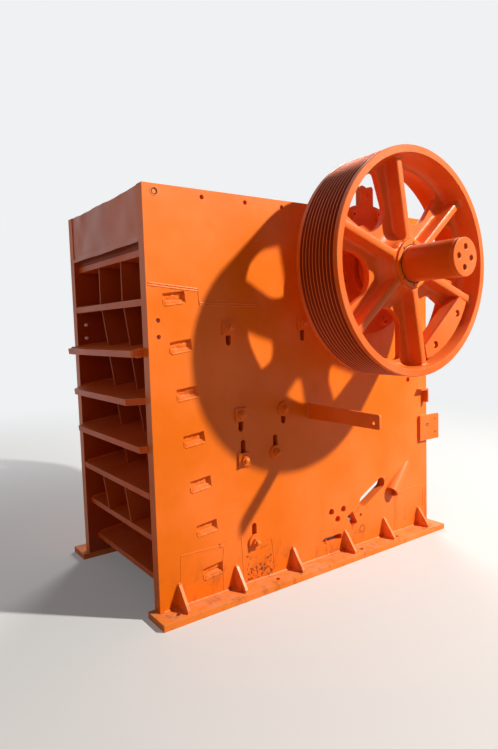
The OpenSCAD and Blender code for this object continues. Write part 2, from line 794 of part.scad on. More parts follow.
// Cheek plates that line the side plates: an upper and a lower one
module cheek_plates() {
    split_z = 1370;
    behind = 150;
    seam = 6;
    for (z = [[split_z + seam, die_top_z - 10], [240, split_z]])
        upright(cheek_t, cheek_t) polygon([
            [cheek_front(z[0]), z[0]], [cheek_front(z[1]), z[1]],
            [swing_face(z[1]) + behind, z[1]], [swing_face(z[0]) + behind, z[0]]
        ]);
}
function cheek_front(z) = plate_front(z) + front_plate_t / cos(front_lean) + 8;
function swing_face(z) = swing_low_x + (z - die_low_z) * tan(swing_lean);

module cheek_plates_near() { color(bare_steel) from_corner() translate([0, -half_in, 0]) cheek_plates(); }
module cheek_plates_far() {
    color(bare_steel) from_corner() mirror([0, 1, 0]) translate([0, -half_in, 0]) cheek_plates();
}

// Clamp bolts with their washers on the outside of the side plate at y = 0
module cheek_clamps() {
    for (s = clamps) translate([s[0], 0, s[2]]) {
        rotate([90, 0, 0]) translate([0, 0, -plate_t]) cylinder(r = clamp_bolt_r, h = plate_t + cut);
        rotate([90, 0, 0]) translate([0, 0, washer_t]) cylinder(r = clamp_head_r, h = clamp_head_t, $fn = 6);
        if (s[3]) translate([-washer_w / 2, -washer_t, -washer_w / 2]) cube([washer_w, washer_t, washer_w]);
        else rotate([90, 0, 0]) cylinder(r = washer_r, h = washer_t);
    }
}

module cheek_clamps_near() { color(orange) from_corner() translate([0, -half_w, 0]) cheek_clamps(); }
module cheek_clamps_far() {
    color(orange) from_corner() mirror([0, 1, 0]) translate([0, -half_w, 0]) cheek_clamps();
}

// Flat arm that stands out from the near plate and carries a guard
module guard_arm() {
    round_r = 14;
    color(orange) from_corner() translate([arm_x, -half_w, arm_z]) rotate([90, 0, 90])
        difference() {
            translate([0, 0, -arm_t / 2]) linear_extrude(arm_t) polygon(concat(
                [[0, 0]], [[0, arm_h + 10]],
                arc([-arm_l + round_r, arm_h - round_r], round_r, 90, 180, 5),
                arc([-arm_l + round_r, round_r], round_r, 180, 270, 5)
            ));
            translate([-arm_l + guard_hole_in, 38, 0])
                cylinder(r = guard_hole_r, h = arm_t + 2 * cut, center = true);
        }
}

// Bolting plate and small angle at the rear edge of the near plate
module rear_brackets() {
    color(orange) from_corner() translate([plate_l, -half_w, 0]) {
        translate([-bracket_lap, 0, bracket_z]) difference() {
            translate([0, -bracket_t, 0]) cube([bracket_w, bracket_t, bracket_h]);
            for (z = [0, bracket_pitch]) translate([bracket_hole_x, cut, bracket_hole_z + z])
                rotate([90, 0, 0]) cylinder(r = bracket_hole_r, h = bracket_t + 2 * cut);
        }
        translate([-angle_lap, -angle_size[1], angle_z]) cube([angle_size[0], angle_size[1], angle_t]);
        translate([-angle_lap + angle_size[0] - angle_t, -angle_size[1], angle_z - angle_size[2]])
            cube([angle_t, angle_size[1], angle_size[2]]);
    }
}

// Pipe stub welded at a slant to the outside of the near plate, where it runs out into the plate's face
module pipe_stub() {
    room = 2 * stub_reach;
    color(orange) from_corner() translate([stub_at[0], -half_w, stub_at[1]]) intersection() {
        translate([0, -20, 0]) rotate([0, -stub_rise, 0]) rotate([0, 0, stub_swing]) rotate([0, 90, 0])
            difference() {
                cylinder(r = stub_r, h = stub_reach);
                translate([0, 0, -cut]) cylinder(r = stub_bore_r, h = stub_reach + 2 * cut);
            }
        translate([-room, -room, -room]) cube([2 * room, room, 2 * room]);
    }
}

// Shaft with its eccentric, the thrown part away from the counterweights
module eccentric_shaft() {
    drive_end = wheel_out + stub_l - cap_t;
    far_end = wheel_out + 20;
    bearing_end = housing_face + cover_t + 12;
    eccentric_half = half_in - 40;
    color(shade_orange) at_shaft(-1) {
        rotate([90, 0, 0]) cylinder(r = shaft_r, h = drive_end);
        translate([0, far_end, 0]) rotate([90, 0, 0])
            cylinder(r = seat_r, h = far_end + wheel_out - hub_end_in + ring_t);
        rotate([90, 0, 0]) cylinder(r = bearing_r, h = 2 * bearing_end, center = true);
        rotate([0, -wheel_turn, 0]) translate([throw * cos(120), 0, throw * sin(120)]) rotate([90, 0, 0])
            cylinder(r = eccentric_r, h = 2 * eccentric_half, center = true);
    }
}

// Outline of a web opening, drawn along +x between two spokes
function web_opening() =
    let (
        edge = opening_edge, inner_c = opening_c, inner_r = inner_c * sin(30) - edge,
        outer_r = wheel_r - rim_t - opening_in, corner_r = opening_corner,
        spoke_a = asin((edge + corner_r) / (outer_r - corner_r)), corner_a = 30 - spoke_a,
        corner_c = (outer_r - corner_r) * [cos(corner_a), sin(corner_a)],
        mirror_c = [corner_c[0], -corner_c[1]]
    )
    concat(
        arc([inner_c, 0], inner_r, 120, 240, 10),
        arc(mirror_c, corner_r, -60, -corner_a, 4),
        arc([0, 0], outer_r, -corner_a, corner_a, 6),
        arc(corner_c, corner_r, corner_a, 60, 4)
    );

// Outline of a spoke fin along +x, flared where it meets the hub and the rim
function fin_half() =
    let (w = fin_t / 2, r = fin_flare, out = wheel_r - rim_t + 4, hub = hub_r - 12)
    concat([[hub, w + r]], arc([hub + r, w + r], r, 180, 270, 4), arc([out - r, w + r], r, 270, 360, 4));
function fin_outline() = concat(
    fin_half(), [for (i = [len(fin_half()) - 1:-1:0]) [fin_half()[i][0], -fin_half()[i][1]]]
);

// Profile of a wheel from its axis outwards: x is the radius, y the distance behind the outer face
function wheel_profile(grooved) =
    let (
        rim_in = wheel_r - rim_t, draft = 12, half = groove_pitch / 2,
        side = (rim_w - grooves * groove_pitch) / 2,
        web_back = web_in + web_t, hub_front = hub_end_in, hub_back = rim_w + hub_in_gap - 8
    )
    concat(
        [
            [seat_r + hub_gap, hub_front], [hub_r - 14, hub_front],
            [hub_r, hub_front + 14], [hub_r + 12, web_in - 24]
        ],
        [[hub_r + 48, web_in], [rim_in - draft - 24, web_in], [rim_in - draft, web_in - 24], [rim_in, 0]],
        [[wheel_r - 4, 0], [wheel_r, 4]],
        grooved ? [for (i = [0:grooves - 1]) each let (c = side + half + i * groove_pitch) [
            [wheel_r, c - 11.5], [wheel_r - groove_d, c - 5.5],
            [wheel_r - groove_d, c + 5.5], [wheel_r, c + 11.5]
        ]] : [],
        [[wheel_r, rim_w - 4], [wheel_r - 4, rim_w], [rim_in, rim_w]],
        [[rim_in - draft, web_back + 24], [rim_in - draft - 24, web_back], [hub_r + 48, web_back]],
        [[hub_r + 12, web_back + 24], [hub_r, hub_back], [seat_r + hub_gap, hub_back]]
    );

// Spoked wheel, outer face at y = 0, rim towards +y
module wheel(grooved) {
    rotate([0, -wheel_turn, 0]) {
        difference() {
            rotate([-90, 0, 0]) rotate_extrude($fn = 144) polygon(wheel_profile(grooved));
            for (i = [0:spokes - 1]) rotate([0, -60 * i, 0]) upright(rim_w, rim_w - 20)
                polygon(web_opening());
        }
        for (i = [0:spokes - 1]) rotate([0, -30 - 60 * i, 0]) upright(web_in + 4, web_in + 4 - fin_in)
            polygon(fin_outline());
    }
}

module grooved_flywheel() { color(orange) at_shaft(-1) translate([0, -wheel_out, 0]) wheel(true); }
module plain_flywheel() { color(orange) at_shaft(1) translate([0, -wheel_out, 0]) wheel(false); }

// Segment plate bolted between two spokes, with the fins' front as its own front
module counterweight() {
    arc_a = 30 - asin((fin_t / 2 + weight_gap + 6) / weight_r);
    rotate([0, -wheel_turn + 60, 0]) difference() {
        upright(web_in, web_in - fin_in) polygon(concat(
            arc([0, 0], weight_r, -arc_a, arc_a, 10),
            [weight_corner(1), weight_corner(-1)]
        ));
        for (a = [-weight_bolt_a, weight_bolt_a]) rotate([0, a, 0]) translate([weight_bolt_r, 0, 0])
            rotate([90, 0, 0]) cylinder(r = weight_hole_r, h = 4 * rim_w, center = true);
    }
}
function weight_corner(s) = [weight_in, s * (weight_in * tan(30) - (fin_t / 2 + weight_gap) / cos(30))];

module counterweight_near() { color(orange) at_shaft(-1) translate([0, -wheel_out, 0]) counterweight(); }
module counterweight_far() { color(orange) at_shaft(1) translate([0, -wheel_out, 0]) counterweight(); }

// Disc screwed to the drive end of the shaft
module shaft_end_cap() {
    color(orange) at_shaft(-1) translate([0, -(wheel_out + stub_l - cap_t), 0]) rotate([90, 0, 0])
        difference() {
            cylinder(r = shaft_r - 1, h = cap_t);
            for (a = [0:90:270]) rotate([0, 0, a + cap_turn]) translate([cap_bolt_r, 0, cap_t - 18])
                cylinder(r = cap_hole_r, h = 18 + cut);
        }
}

// Ring that clamps a hub to the shaft
module hub_ring() {
    translate([0, hub_end_in, 0]) rotate([90, 0, 0]) difference() {
        cylinder(r = ring_r, h = ring_t);
        translate([0, 0, -cut]) cylinder(r = seat_r + hub_gap, h = ring_t + 2 * cut);
        for (a = [0:45:315]) rotate([0, 0, a]) translate([ring_r - 20, 0, -cut])
            cylinder(r = 8, h = ring_t + 2 * cut);
    }
}

module hub_ring_near() { color(orange) at_shaft(-1) translate([0, -wheel_out, 0]) hub_ring(); }
module hub_ring_far() { color(orange) at_shaft(1) translate([0, -wheel_out, 0]) hub_ring(); }

side_plate_near();
side_plate_far();
foot_flange_near();
foot_flange_far();
front_panel();
front_ledge();
front_plate();
front_rib_1();
front_rib_2();
front_rib_3();
front_rib_4();
front_rib_5();
front_rib_6();
front_rib_7();
front_gussets_near();
front_gussets_far();
fixed_jaw_die();
cheek_plates_near();
cheek_plates_far();
cheek_clamps_near();
cheek_clamps_far();
swing_jaw();
swing_jaw_die();
die_wedge();
toggle_plate();
toggle_block();
rear_beam();
rear_tie();
tension_rods();
tension_springs();
bearing_housing_near();
bearing_housing_far();
bearing_cover_near();
bearing_cover_far();
guard_arm();
rear_brackets();
pipe_stub();
eccentric_shaft();
grooved_flywheel();
plain_flywheel();
counterweight_near();
counterweight_far();
shaft_end_cap();
hub_ring_near();
hub_ring_far();
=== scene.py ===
import math

import bmesh
import bpy
from mathutils import Matrix, Vector, noise


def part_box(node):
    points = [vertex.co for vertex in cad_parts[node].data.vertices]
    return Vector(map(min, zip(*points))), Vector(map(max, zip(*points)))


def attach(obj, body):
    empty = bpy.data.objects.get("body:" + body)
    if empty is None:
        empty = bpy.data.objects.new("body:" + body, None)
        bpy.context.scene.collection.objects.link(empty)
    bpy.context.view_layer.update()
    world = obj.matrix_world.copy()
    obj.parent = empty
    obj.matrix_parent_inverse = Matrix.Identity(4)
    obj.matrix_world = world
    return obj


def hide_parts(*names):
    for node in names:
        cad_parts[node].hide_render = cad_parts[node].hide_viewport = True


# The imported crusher: its solids are the construction, and the pieces below dress them.
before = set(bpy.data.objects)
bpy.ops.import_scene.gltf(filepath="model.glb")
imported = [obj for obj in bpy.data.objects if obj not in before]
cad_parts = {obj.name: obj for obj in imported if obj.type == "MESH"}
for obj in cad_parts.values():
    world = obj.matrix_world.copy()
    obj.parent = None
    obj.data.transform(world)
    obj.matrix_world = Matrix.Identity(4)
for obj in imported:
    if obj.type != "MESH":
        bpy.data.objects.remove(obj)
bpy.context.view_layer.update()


# Camera: a short lens at eye height, off the front corner on the drive side, so the ribbed front
# and the side plate with the grooved flywheel both show. Angles are in radians.
eye_place = (-2.4096, -3.5038, 1.6743)
turned_right, tilted_down, rolled = 0.6196, 0.0814, -0.0302
film_height, lens_pixels, picture_height = 24, 565, 749
camera = bpy.data.objects.new("camera", bpy.data.cameras.new("camera"))
camera.data.sensor_fit = "VERTICAL"
camera.data.sensor_height = film_height
camera.data.lens = film_height * lens_pixels / picture_height
camera.data.clip_end = 200
camera.matrix_world = (
    Matrix.Translation(eye_place)
    @ Matrix.Rotation(-turned_right, 4, "Z")
    @ Matrix.Rotation(math.pi / 2 - tilted_down, 4, "X")
    @ Matrix.Rotation(rolled, 4, "Z")
)
bpy.context.scene.collection.objects.link(camera)
bpy.context.scene.camera = camera
bpy.context.scene.view_settings.view_transform = "Standard"


# Light: a lamp high on the drive side throws the wheel's shadow on the side plate and leaves the
# ribbed front darker. Wide, weaker lamps at the front and rear fill in. The sky adds a dim even
# light, and the camera and every gloss see it as a pale backdrop.
def soft_lamp(name, place, aim, width, watts, tint=(1, 1, 1)):
    """A round lamp that shines from place towards aim."""
    lamp = bpy.data.lights.new(name, "AREA")
    lamp.shape = "DISK"
    lamp.color = tint
    lamp.size = width
    lamp.energy = watts
    holder = bpy.data.objects.new(name, lamp)
    turn = (Vector(aim) - Vector(place)).to_track_quat("-Z", "Y").to_matrix().to_4x4()
    holder.matrix_world = Matrix.Translation(place) @ turn
    bpy.context.scene.collection.objects.link(holder)


def lay_node(tree, kind, inputs=None, **settings):
    """Adds a shader node; a value in inputs is set on its socket, a socket is linked to it."""
    node = tree.nodes.new("ShaderNode" + kind)
    for name, value in settings.items():
        setattr(node, name, value)
    for name, value in (inputs or {}).items():
        if isinstance(value, bpy.types.NodeSocket):
            tree.links.new(value, node.inputs[name])
        else:
            node.inputs[name].default_value = value
    return node


def figure(tree, operation, a, b):
    """A sum, product or the like of two numbers."""
    return lay_node(tree, "Math", {0: a, 1: b}, operation=operation).outputs[0]


def backdrop_seen(tree):
    """One for what is seen straight, in a gloss or through glass, and nothing for what only lights."""
    path = lay_node(tree, "LightPath").outputs
    mirrored = figure(tree, "MAXIMUM", path["Is Glossy Ray"], path["Is Transmission Ray"])
    return figure(tree, "MAXIMUM", path["Is Camera Ray"], mirrored)


soft_lamp("high_lamp", (6.6, -8.1, 8.6), (0.2, -0.6, 1.3), 0.5, 2450, (1.0, 0.97, 0.91))
soft_lamp("front_lamp", (-7.5, -4.0, 4.5), (-0.8, 0.0, 1.2), 4.0, 42, (1.0, 0.90, 0.90))
soft_lamp("rear_lamp", (6.0, 7.0, 6.0), (0.3, 0.3, 1.3), 4.0, 600)
backdrop_tone = (0.87, 0.88, 0.89, 1)
sky_tone, sky_strength = (0.97, 0.89, 0.91, 1), 0.095
sky = bpy.data.worlds.new("sky")
sky.use_nodes = True
bpy.context.scene.world = sky
sky_tree = sky.node_tree
backdrop = sky_tree.nodes["Background"]
backdrop.inputs["Color"].default_value = backdrop_tone
backdrop.inputs["Strength"].default_value = 1.0
sky_light = lay_node(sky_tree, "Background", {"Color": sky_tone, "Strength": sky_strength})
sky_ends = {0: backdrop_seen(sky_tree), 1: sky_light.outputs[0], 2: backdrop.outputs[0]}
sky_mix = lay_node(sky_tree, "MixShader", sky_ends)
sky_tree.links.new(sky_mix.outputs[0], sky_tree.nodes["World Output"].inputs["Surface"])


# Floor: a plain pale studio floor under the feet, not part of the crusher. It looks pale but gives
# back dim, warm light. It keeps the shadow, and far out it fades into the pale backdrop.
def band(tree, value, low, high, start=0.0, end=1.0):
    """Takes value from low..high to start..end, with soft ends."""
    settings = {"Value": value, "From Min": low, "From Max": high, "To Min": start, "To Max": end}
    return lay_node(tree, "MapRange", settings, interpolation_type="SMOOTHSTEP").outputs[0]


def tone(tree, share, low, high):
    """The colour between low and high by share."""
    mix = lay_node(tree, "Mix", {0: share, 6: low, 7: high}, data_type="RGBA")
    return mix.outputs[2]


def new_finish(name):
    """A new material with its Principled shader."""
    finish = bpy.data.materials.new(name)
    finish.use_nodes = True
    return finish, finish.node_tree, finish.node_tree.nodes["Principled BSDF"]


floor_dim, floor_pale = (0.33, 0.25, 0.20, 1), (0.66, 0.66, 0.65, 1)
fade_from, fade_to, fade_least = 1.8, 10.0, 0.12
floor_half = 60
floor_finish, floor_tree, floor_shader = new_finish("pale_floor")
floor_shader.inputs["Roughness"].default_value = 0.9
floor_seen = backdrop_seen(floor_tree)
floor_tone = tone(floor_tree, floor_seen, floor_dim, floor_pale)
floor_tree.links.new(floor_tone, floor_shader.inputs["Base Color"])
floor_place = lay_node(floor_tree, "TexCoord").outputs["Object"]
floor_far = lay_node(floor_tree, "VectorMath", {0: floor_place}, operation="LENGTH").outputs["Value"]
floor_fade = band(floor_tree, floor_far, fade_from, fade_to, fade_least, 1.0)
floor_fade = figure(floor_tree, "MULTIPLY", floor_seen, floor_fade)
floor_glow = lay_node(floor_tree, "Emission", {"Color": backdrop_tone, "Strength": 1.0})
floor_ends = {0: floor_fade, 1: floor_shader.outputs[0], 2: floor_glow.outputs[0]}
floor_mix = lay_node(floor_tree, "MixShader", floor_ends)
floor_tree.links.new(floor_mix.outputs[0], floor_tree.nodes["Material Output"].inputs["Surface"])
floor_bm = bmesh.new()
bmesh.ops.create_grid(floor_bm, x_segments=1, y_segments=1, size=floor_half)
floor = bpy.data.objects.new("floor", bpy.data.meshes.new("floor"))
floor_bm.to_mesh(floor.data)
floor_bm.free()
floor.data.materials.append(floor_finish)
bpy.context.scene.collection.objects.link(floor)


# Side plates: thick flame-cut plates painted with orange enamel, which has been brushed over dents,
# old weld scars and rust. Paint is worn off near the feet, where dirt has dried on it. The faces
# that look into the crusher get a darker, redder paint as painted shade.
dark_rust, pale_rust = (0.15, 0.028, 0.008, 1), (0.34, 0.075, 0.018, 1)
rusty_rim, stone_dust, dried_dirt = (0.42, 0.1, 0.025, 1), (0.58, 0.27, 0.13, 1), (0.20, 0.06, 0.025, 1)
joined_within, same_point = 0.00002, 0.00003


def cloud(tree, place, scale, detail=4.0, stretch=(1, 1, 1), rough=0.55):
    """Mottled noise of so many lumps to a metre, squeezed by stretch."""
    squeezed = lay_node(tree, "Mapping", {"Vector": place, "Scale": stretch}).outputs[0]
    settings = {"Vector": squeezed, "Scale": scale, "Detail": detail, "Roughness": rough}
    return lay_node(tree, "TexNoise", settings).outputs["Fac"]


def effect(name, takes, gives):
    """A shader node group with its named inputs and outputs."""
    tree = bpy.data.node_groups.new(name, "ShaderNodeTree")
    for label, kind, value in takes:
        socket = tree.interface.new_socket(label, in_out="INPUT", socket_type="NodeSocket" + kind)
        socket.default_value = value
    for label, kind in gives:
        tree.interface.new_socket(label, in_out="OUTPUT", socket_type="NodeSocket" + kind)
    return tree, tree.nodes.new("NodeGroupInput").outputs, tree.nodes.new("NodeGroupOutput").inputs


def brushed_enamel_effect():
    """Enamel over rough steel: cloudy colour, runs, dust on level faces, chips down to rust."""
    takes = [
        ("Paint", "Color", (0.9, 0.19, 0.02, 1)),
        ("Chips", "Float", 0.3),
        ("Bare Spots", "Float", 0.0),
        ("Foot Wear", "Float", 1.0),
        ("Dust", "Float", 0.3),
        ("Gloss", "Float", 0.3),
        ("Grain", "Float", 0.3),
    ]
    gives = [("Color", "Color"), ("Roughness", "Float"), ("Height", "Float")]
    tree, given, made = effect("brushed_enamel", takes, gives)
    coords = lay_node(tree, "TexCoord").outputs
    place = coords["Object"]
    height = lay_node(tree, "SeparateXYZ", {0: place}).outputs["Z"]
    facing_up = lay_node(tree, "SeparateXYZ", {0: coords["Normal"]}).outputs["Z"]
    thick_and_thin = band(tree, cloud(tree, place, 1.3, 5), 0.35, 0.7)
    darker = lay_node(tree, "HueSaturation", {"Saturation": 1.03, "Value": 0.87, "Color": given["Paint"]})
    paler = lay_node(tree, "HueSaturation", {"Saturation": 0.98, "Value": 1.04, "Color": given["Paint"]})
    coat = tone(tree, thick_and_thin, darker.outputs[0], paler.outputs[0])
    runs = band(tree, cloud(tree, place, 9, 3, (1, 1, 0.12)), 0.55, 0.8, 0, 0.4)
    coat = tone(tree, runs, coat, darker.outputs[0])
    patchy = cloud(tree, place, 2.2, 3)
    speck = cloud(tree, place, 46, 8, rough=0.7)
    near_foot = figure(tree, "MULTIPLY", band(tree, height, 0.34, 0.03), given["Foot Wear"])
    weak_spots = figure(tree, "MULTIPLY", band(tree, patchy, 0.45, 0.72), given["Chips"])
    hold = figure(tree, "ADD", weak_spots, figure(tree, "MULTIPLY", near_foot, 0.42))
    hold = figure(tree, "ADD", hold, given["Bare Spots"])
    limit = figure(tree, "SUBTRACT", 0.86, figure(tree, "MULTIPLY", hold, 0.34))
    over = figure(tree, "SUBTRACT", speck, limit)
    chipped = band(tree, over, 0.0, 0.018)
    rim_of_chip = band(tree, over, -0.03, 0.0)
    rust_tone = tone(tree, band(tree, cloud(tree, place, 70, 4), 0.35, 0.65), dark_rust, pale_rust)
    coat = tone(tree, figure(tree, "MULTIPLY", rim_of_chip, 0.4), coat, rusty_rim)
    coat = tone(tree, chipped, coat, rust_tone)
    settled = figure(tree, "MULTIPLY", band(tree, facing_up, 0.35, 0.95), given["Dust"])
    settled = figure(tree, "MULTIPLY", settled, band(tree, cloud(tree, place, 14, 6), 0.3, 0.65, 0, 0.8))
    caked = band(tree, cloud(tree, place, 20, 6, (1, 1, 0.5)), 0.5, 0.7, 0, 0.5)
    dirt = figure(tree, "MULTIPLY", near_foot, caked)
    dusty = tone(tree, settled, coat, stone_dust)
    dirt_on_paint = figure(tree, "MULTIPLY", dirt, band(tree, chipped, 1, 0))
    dusty = tone(tree, dirt_on_paint, dusty, dried_dirt)
    tree.links.new(dusty, made["Color"])
    grime = figure(tree, "MAXIMUM", settled, dirt)
    dull = figure(tree, "ADD", given["Gloss"], band(tree, patchy, 0.3, 0.75, 0, 0.14))
    dull = figure(tree, "ADD", dull, figure(tree, "MULTIPLY", chipped, 0.45))
    dull = figure(tree, "ADD", dull, figure(tree, "MULTIPLY", grime, 0.35))
    tree.links.new(dull, made["Roughness"])
    brush = figure(tree, "MULTIPLY", cloud(tree, place, 150, 3, (1, 1, 0.25)), 0.0004)
    grit = figure(tree, "MULTIPLY", cloud(tree, place, 210, 4), given["Grain"])
    sand = figure(tree, "MULTIPLY", grit, 0.0022)
    dents = figure(tree, "MULTIPLY", cloud(tree, place, 5.5, 2), 0.005)
    relief = figure(tree, "ADD", figure(tree, "ADD", brush, sand), dents)
    relief = figure(tree, "SUBTRACT", relief, figure(tree, "MULTIPLY", chipped, 0.0011))
    tree.links.new(relief, made["Height"])
    return tree


brushed_enamel = brushed_enamel_effect()


def bare_areas(tree, areas):
    """Soft-edged places on a side plate where paint comes off: x, z, half length, half height, share."""
    place = lay_node(tree, "SeparateXYZ", {0: lay_node(tree, "TexCoord").outputs["Object"]}).outputs
    total = 0.0
    for x, z, half_x, half_z, share in areas:
        off = []
        for axis, middle, half in (("X", x, half_x), ("Z", z, half_z)):
            away = figure(tree, "ABSOLUTE", figure(tree, "SUBTRACT", place[axis], middle), 0)
            off.append(figure(tree, "DIVIDE", away, half))
        inside = band(tree, figure(tree, "MAXIMUM", *off), 1.25, 0.8, 0, share)
        total = figure(tree, "ADD", inside, total)
    return total


def facing_inwards(tree):
    """One on the faces that look into the crusher, where shade is painted, nothing on the outer faces and
    the edges.
    """
    coords = lay_node(tree, "TexCoord").outputs
    side = lay_node(tree, "SeparateXYZ", {0: coords["Object"]}).outputs["Y"]
    face = lay_node(tree, "SeparateXYZ", {0: coords["Normal"]}).outputs["Y"]
    return band(tree, figure(tree, "MULTIPLY", side, face), -0.3, -0.5)


def roughen(tree, shader, height, strength):
    """Bumps a shader by a height in metres."""
    bump = lay_node(tree, "Bump", {"Height": height, "Strength": strength, "Distance": 1.0})
    tree.links.new(bump.outputs[0], shader.inputs["Normal"])


def enamel(name, paint, chips=0.1, foot_wear=1.0, dust=0.2, gloss=0.3, grain=0.3, areas=(), inside=None):
    """A material of brushed enamel with its own colour, wear and gloss."""
    finish, tree, shader = new_finish(name)
    settings = {
        "Paint": paint, "Chips": chips, "Foot Wear": foot_wear,
        "Dust": dust, "Gloss": gloss, "Grain": grain,
    }
    coat = tree.nodes.new("ShaderNodeGroup")
    coat.node_tree = brushed_enamel
    for label, value in settings.items():
        coat.inputs[label].default_value = value
    if areas:
        tree.links.new(bare_areas(tree, areas), coat.inputs["Bare Spots"])
    # The inside colour is painted shade on the faces that look into the crusher.
    if inside:
        tree.links.new(tone(tree, facing_inwards(tree), paint, inside), coat.inputs["Paint"])
    tree.links.new(coat.outputs["Color"], shader.inputs["Base Color"])
    tree.links.new(coat.outputs["Roughness"], shader.inputs["Roughness"])
    roughen(tree, shader, coat.outputs["Height"], 0.6)
    shader.inputs["Specular IOR Level"].default_value = 0.2
    shader.inputs["Coat Weight"].default_value = 0.05
    shader.inputs["Coat Roughness"].default_value = 0.2
    return finish


def soften_edges(node, width, finish, worn):
    """Rounds a solid's sharp edges by width, as grinding and paint do. The rounded edges are worn."""
    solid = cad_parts[node]
    solid.data.materials.clear()
    solid.data.materials.append(finish)
    solid.data.materials.append(worn)
    join = solid.modifiers.new("join_faces", "WELD")
    join.merge_threshold = joined_within
    flat = solid.modifiers.new("plane_faces", "DECIMATE")
    flat.decimate_type = "DISSOLVE"
    flat.angle_limit = math.radians(0.6)
    edge = solid.modifiers.new("ground_edges", "BEVEL")
    edge.width = width
    edge.segments = 2
    edge.limit_method = "ANGLE"
    edge.angle_limit = math.radians(35)
    edge.use_clamp_overlap = True
    edge.material = 1
    smooth = solid.modifiers.new("even_shading", "WEIGHTED_NORMAL")
    smooth.keep_sharp = True


paint_orange = (0.92, 0.185, 0.012, 1)
# The second red is painted shade for the faces inside the frame.
inner_shade_red = (0.50, 0.062, 0.010, 1)
frame_orange = enamel("frame_orange", paint_orange, inside=inner_shade_red, areas=[
    (-0.306, 0.16, 0.12, 0.16, 0.6), (-0.74, 0.2, 0.05, 0.2, 0.16), (-0.59, 0.26, 0.03, 0.12, 0.36),
    (0.42, 0.14, 0.16, 0.12, 0.38), (1.18, 0.16, 0.16, 0.14, 0.22), (-0.66, 0.34, 0.13, 0.02, 0.4),
])
worn_orange = enamel("worn_orange", (0.93, 0.24, 0.04, 1), chips=0.75, gloss=0.38)
both_sides = ((-1, "near"), (1, "far"))
for side, end in both_sides:
    soften_edges("side_plate_" + end, 0.003, frame_orange, worn_orange)

plate_front, plate_face, foot_top = -1.031, 0.615, 0.04
front_lean = math.radians(6.73)
front_slope = math.tan(front_lean)


def on_side(side, x, z, out=0.0):
    """A point on a side plate: x behind its front edge, z above the foot, out of its face."""
    return Vector((plate_front + x, side * (plate_face + out), foot_top + z))


def add_piece(bm, name, finish, body="frame", stands_for=(), sharp=40):
    """Makes a named piece of a bmesh, with smooth faces and sharp edges over an angle in degrees."""
    bmesh.ops.remove_doubles(bm, verts=bm.verts, dist=same_point)
    bmesh.ops.recalc_face_normals(bm, faces=bm.faces)
    for face in bm.faces:
        face.smooth = True
    mesh = bpy.data.meshes.new(name)
    bm.to_mesh(mesh)
    bm.free()
    mesh.set_sharp_from_angle(angle=math.radians(sharp))
    mesh.materials.append(finish)
    piece = bpy.data.objects.new(name, mesh)
    bpy.context.scene.collection.objects.link(piece)
    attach(piece, body)
    if stands_for:
        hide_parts(*stands_for)
    return piece


def lay_bead(bm, path, out, width, sides=6, ripple=0.14):
    """A weld bead: a grid rolled round a path into a rippled rope, closed to a point at both ends."""
    path = [Vector(point) for point in path]
    marks = [0.0]
    for start, end in zip(path, path[1:]):
        marks.append(marks[-1] + (end - start).length)
    rings = max(4, round(marks[-1] / (width * 1.3)))
    for vert in bmesh.ops.create_grid(bm, x_segments=rings, y_segments=sides, size=0.5)["verts"]:
        share, around = vert.co.x + 0.5, math.tau * vert.co.y
        at = share * marks[-1]
        leg = next((i for i in range(1, len(path)) if at <= marks[i]), len(path) - 1)
        run = path[leg] - path[leg - 1]
        middle = path[leg - 1] + run * ((at - marks[leg - 1]) / run.length)
        across = run.cross(Vector(out)).normalized()
        up = across.cross(run).normalized()
        lump = 1 + 0.3 * noise.noise(middle * 55) + ripple * (-1) ** round(share * rings)
        taper = min(1.0, share * rings, (1 - share) * rings)
        reach = width * lump * taper
        vert.co = middle + across * (math.cos(around) * reach) + up * (math.sin(around) * reach)


weld_orange = enamel("weld_orange", (0.9, 0.2, 0.022, 1), chips=0.35, foot_wear=1.2, gloss=0.36, grain=0.6)

# Slots of the side plates: each rib's tab is plug-welded in its slot. The weld metal is lumpy and
# slopes from the plate's face down to the tab, with three passes over the lower slope and a bead
# along the lower and the front edge.
rib_count, slot_x, slot_z, slot_pitch = 7, 0.173, 1.819, 0.277
slot_length, slot_height, tab_depth = 0.143, 0.070, 0.0255
fill_half, fill_sunk = 0.016, 0.0166
weld_leg, low_leg = 0.0135, 0.011
edge_bead_sunk, edge_bead_reach = -0.002, 0.98


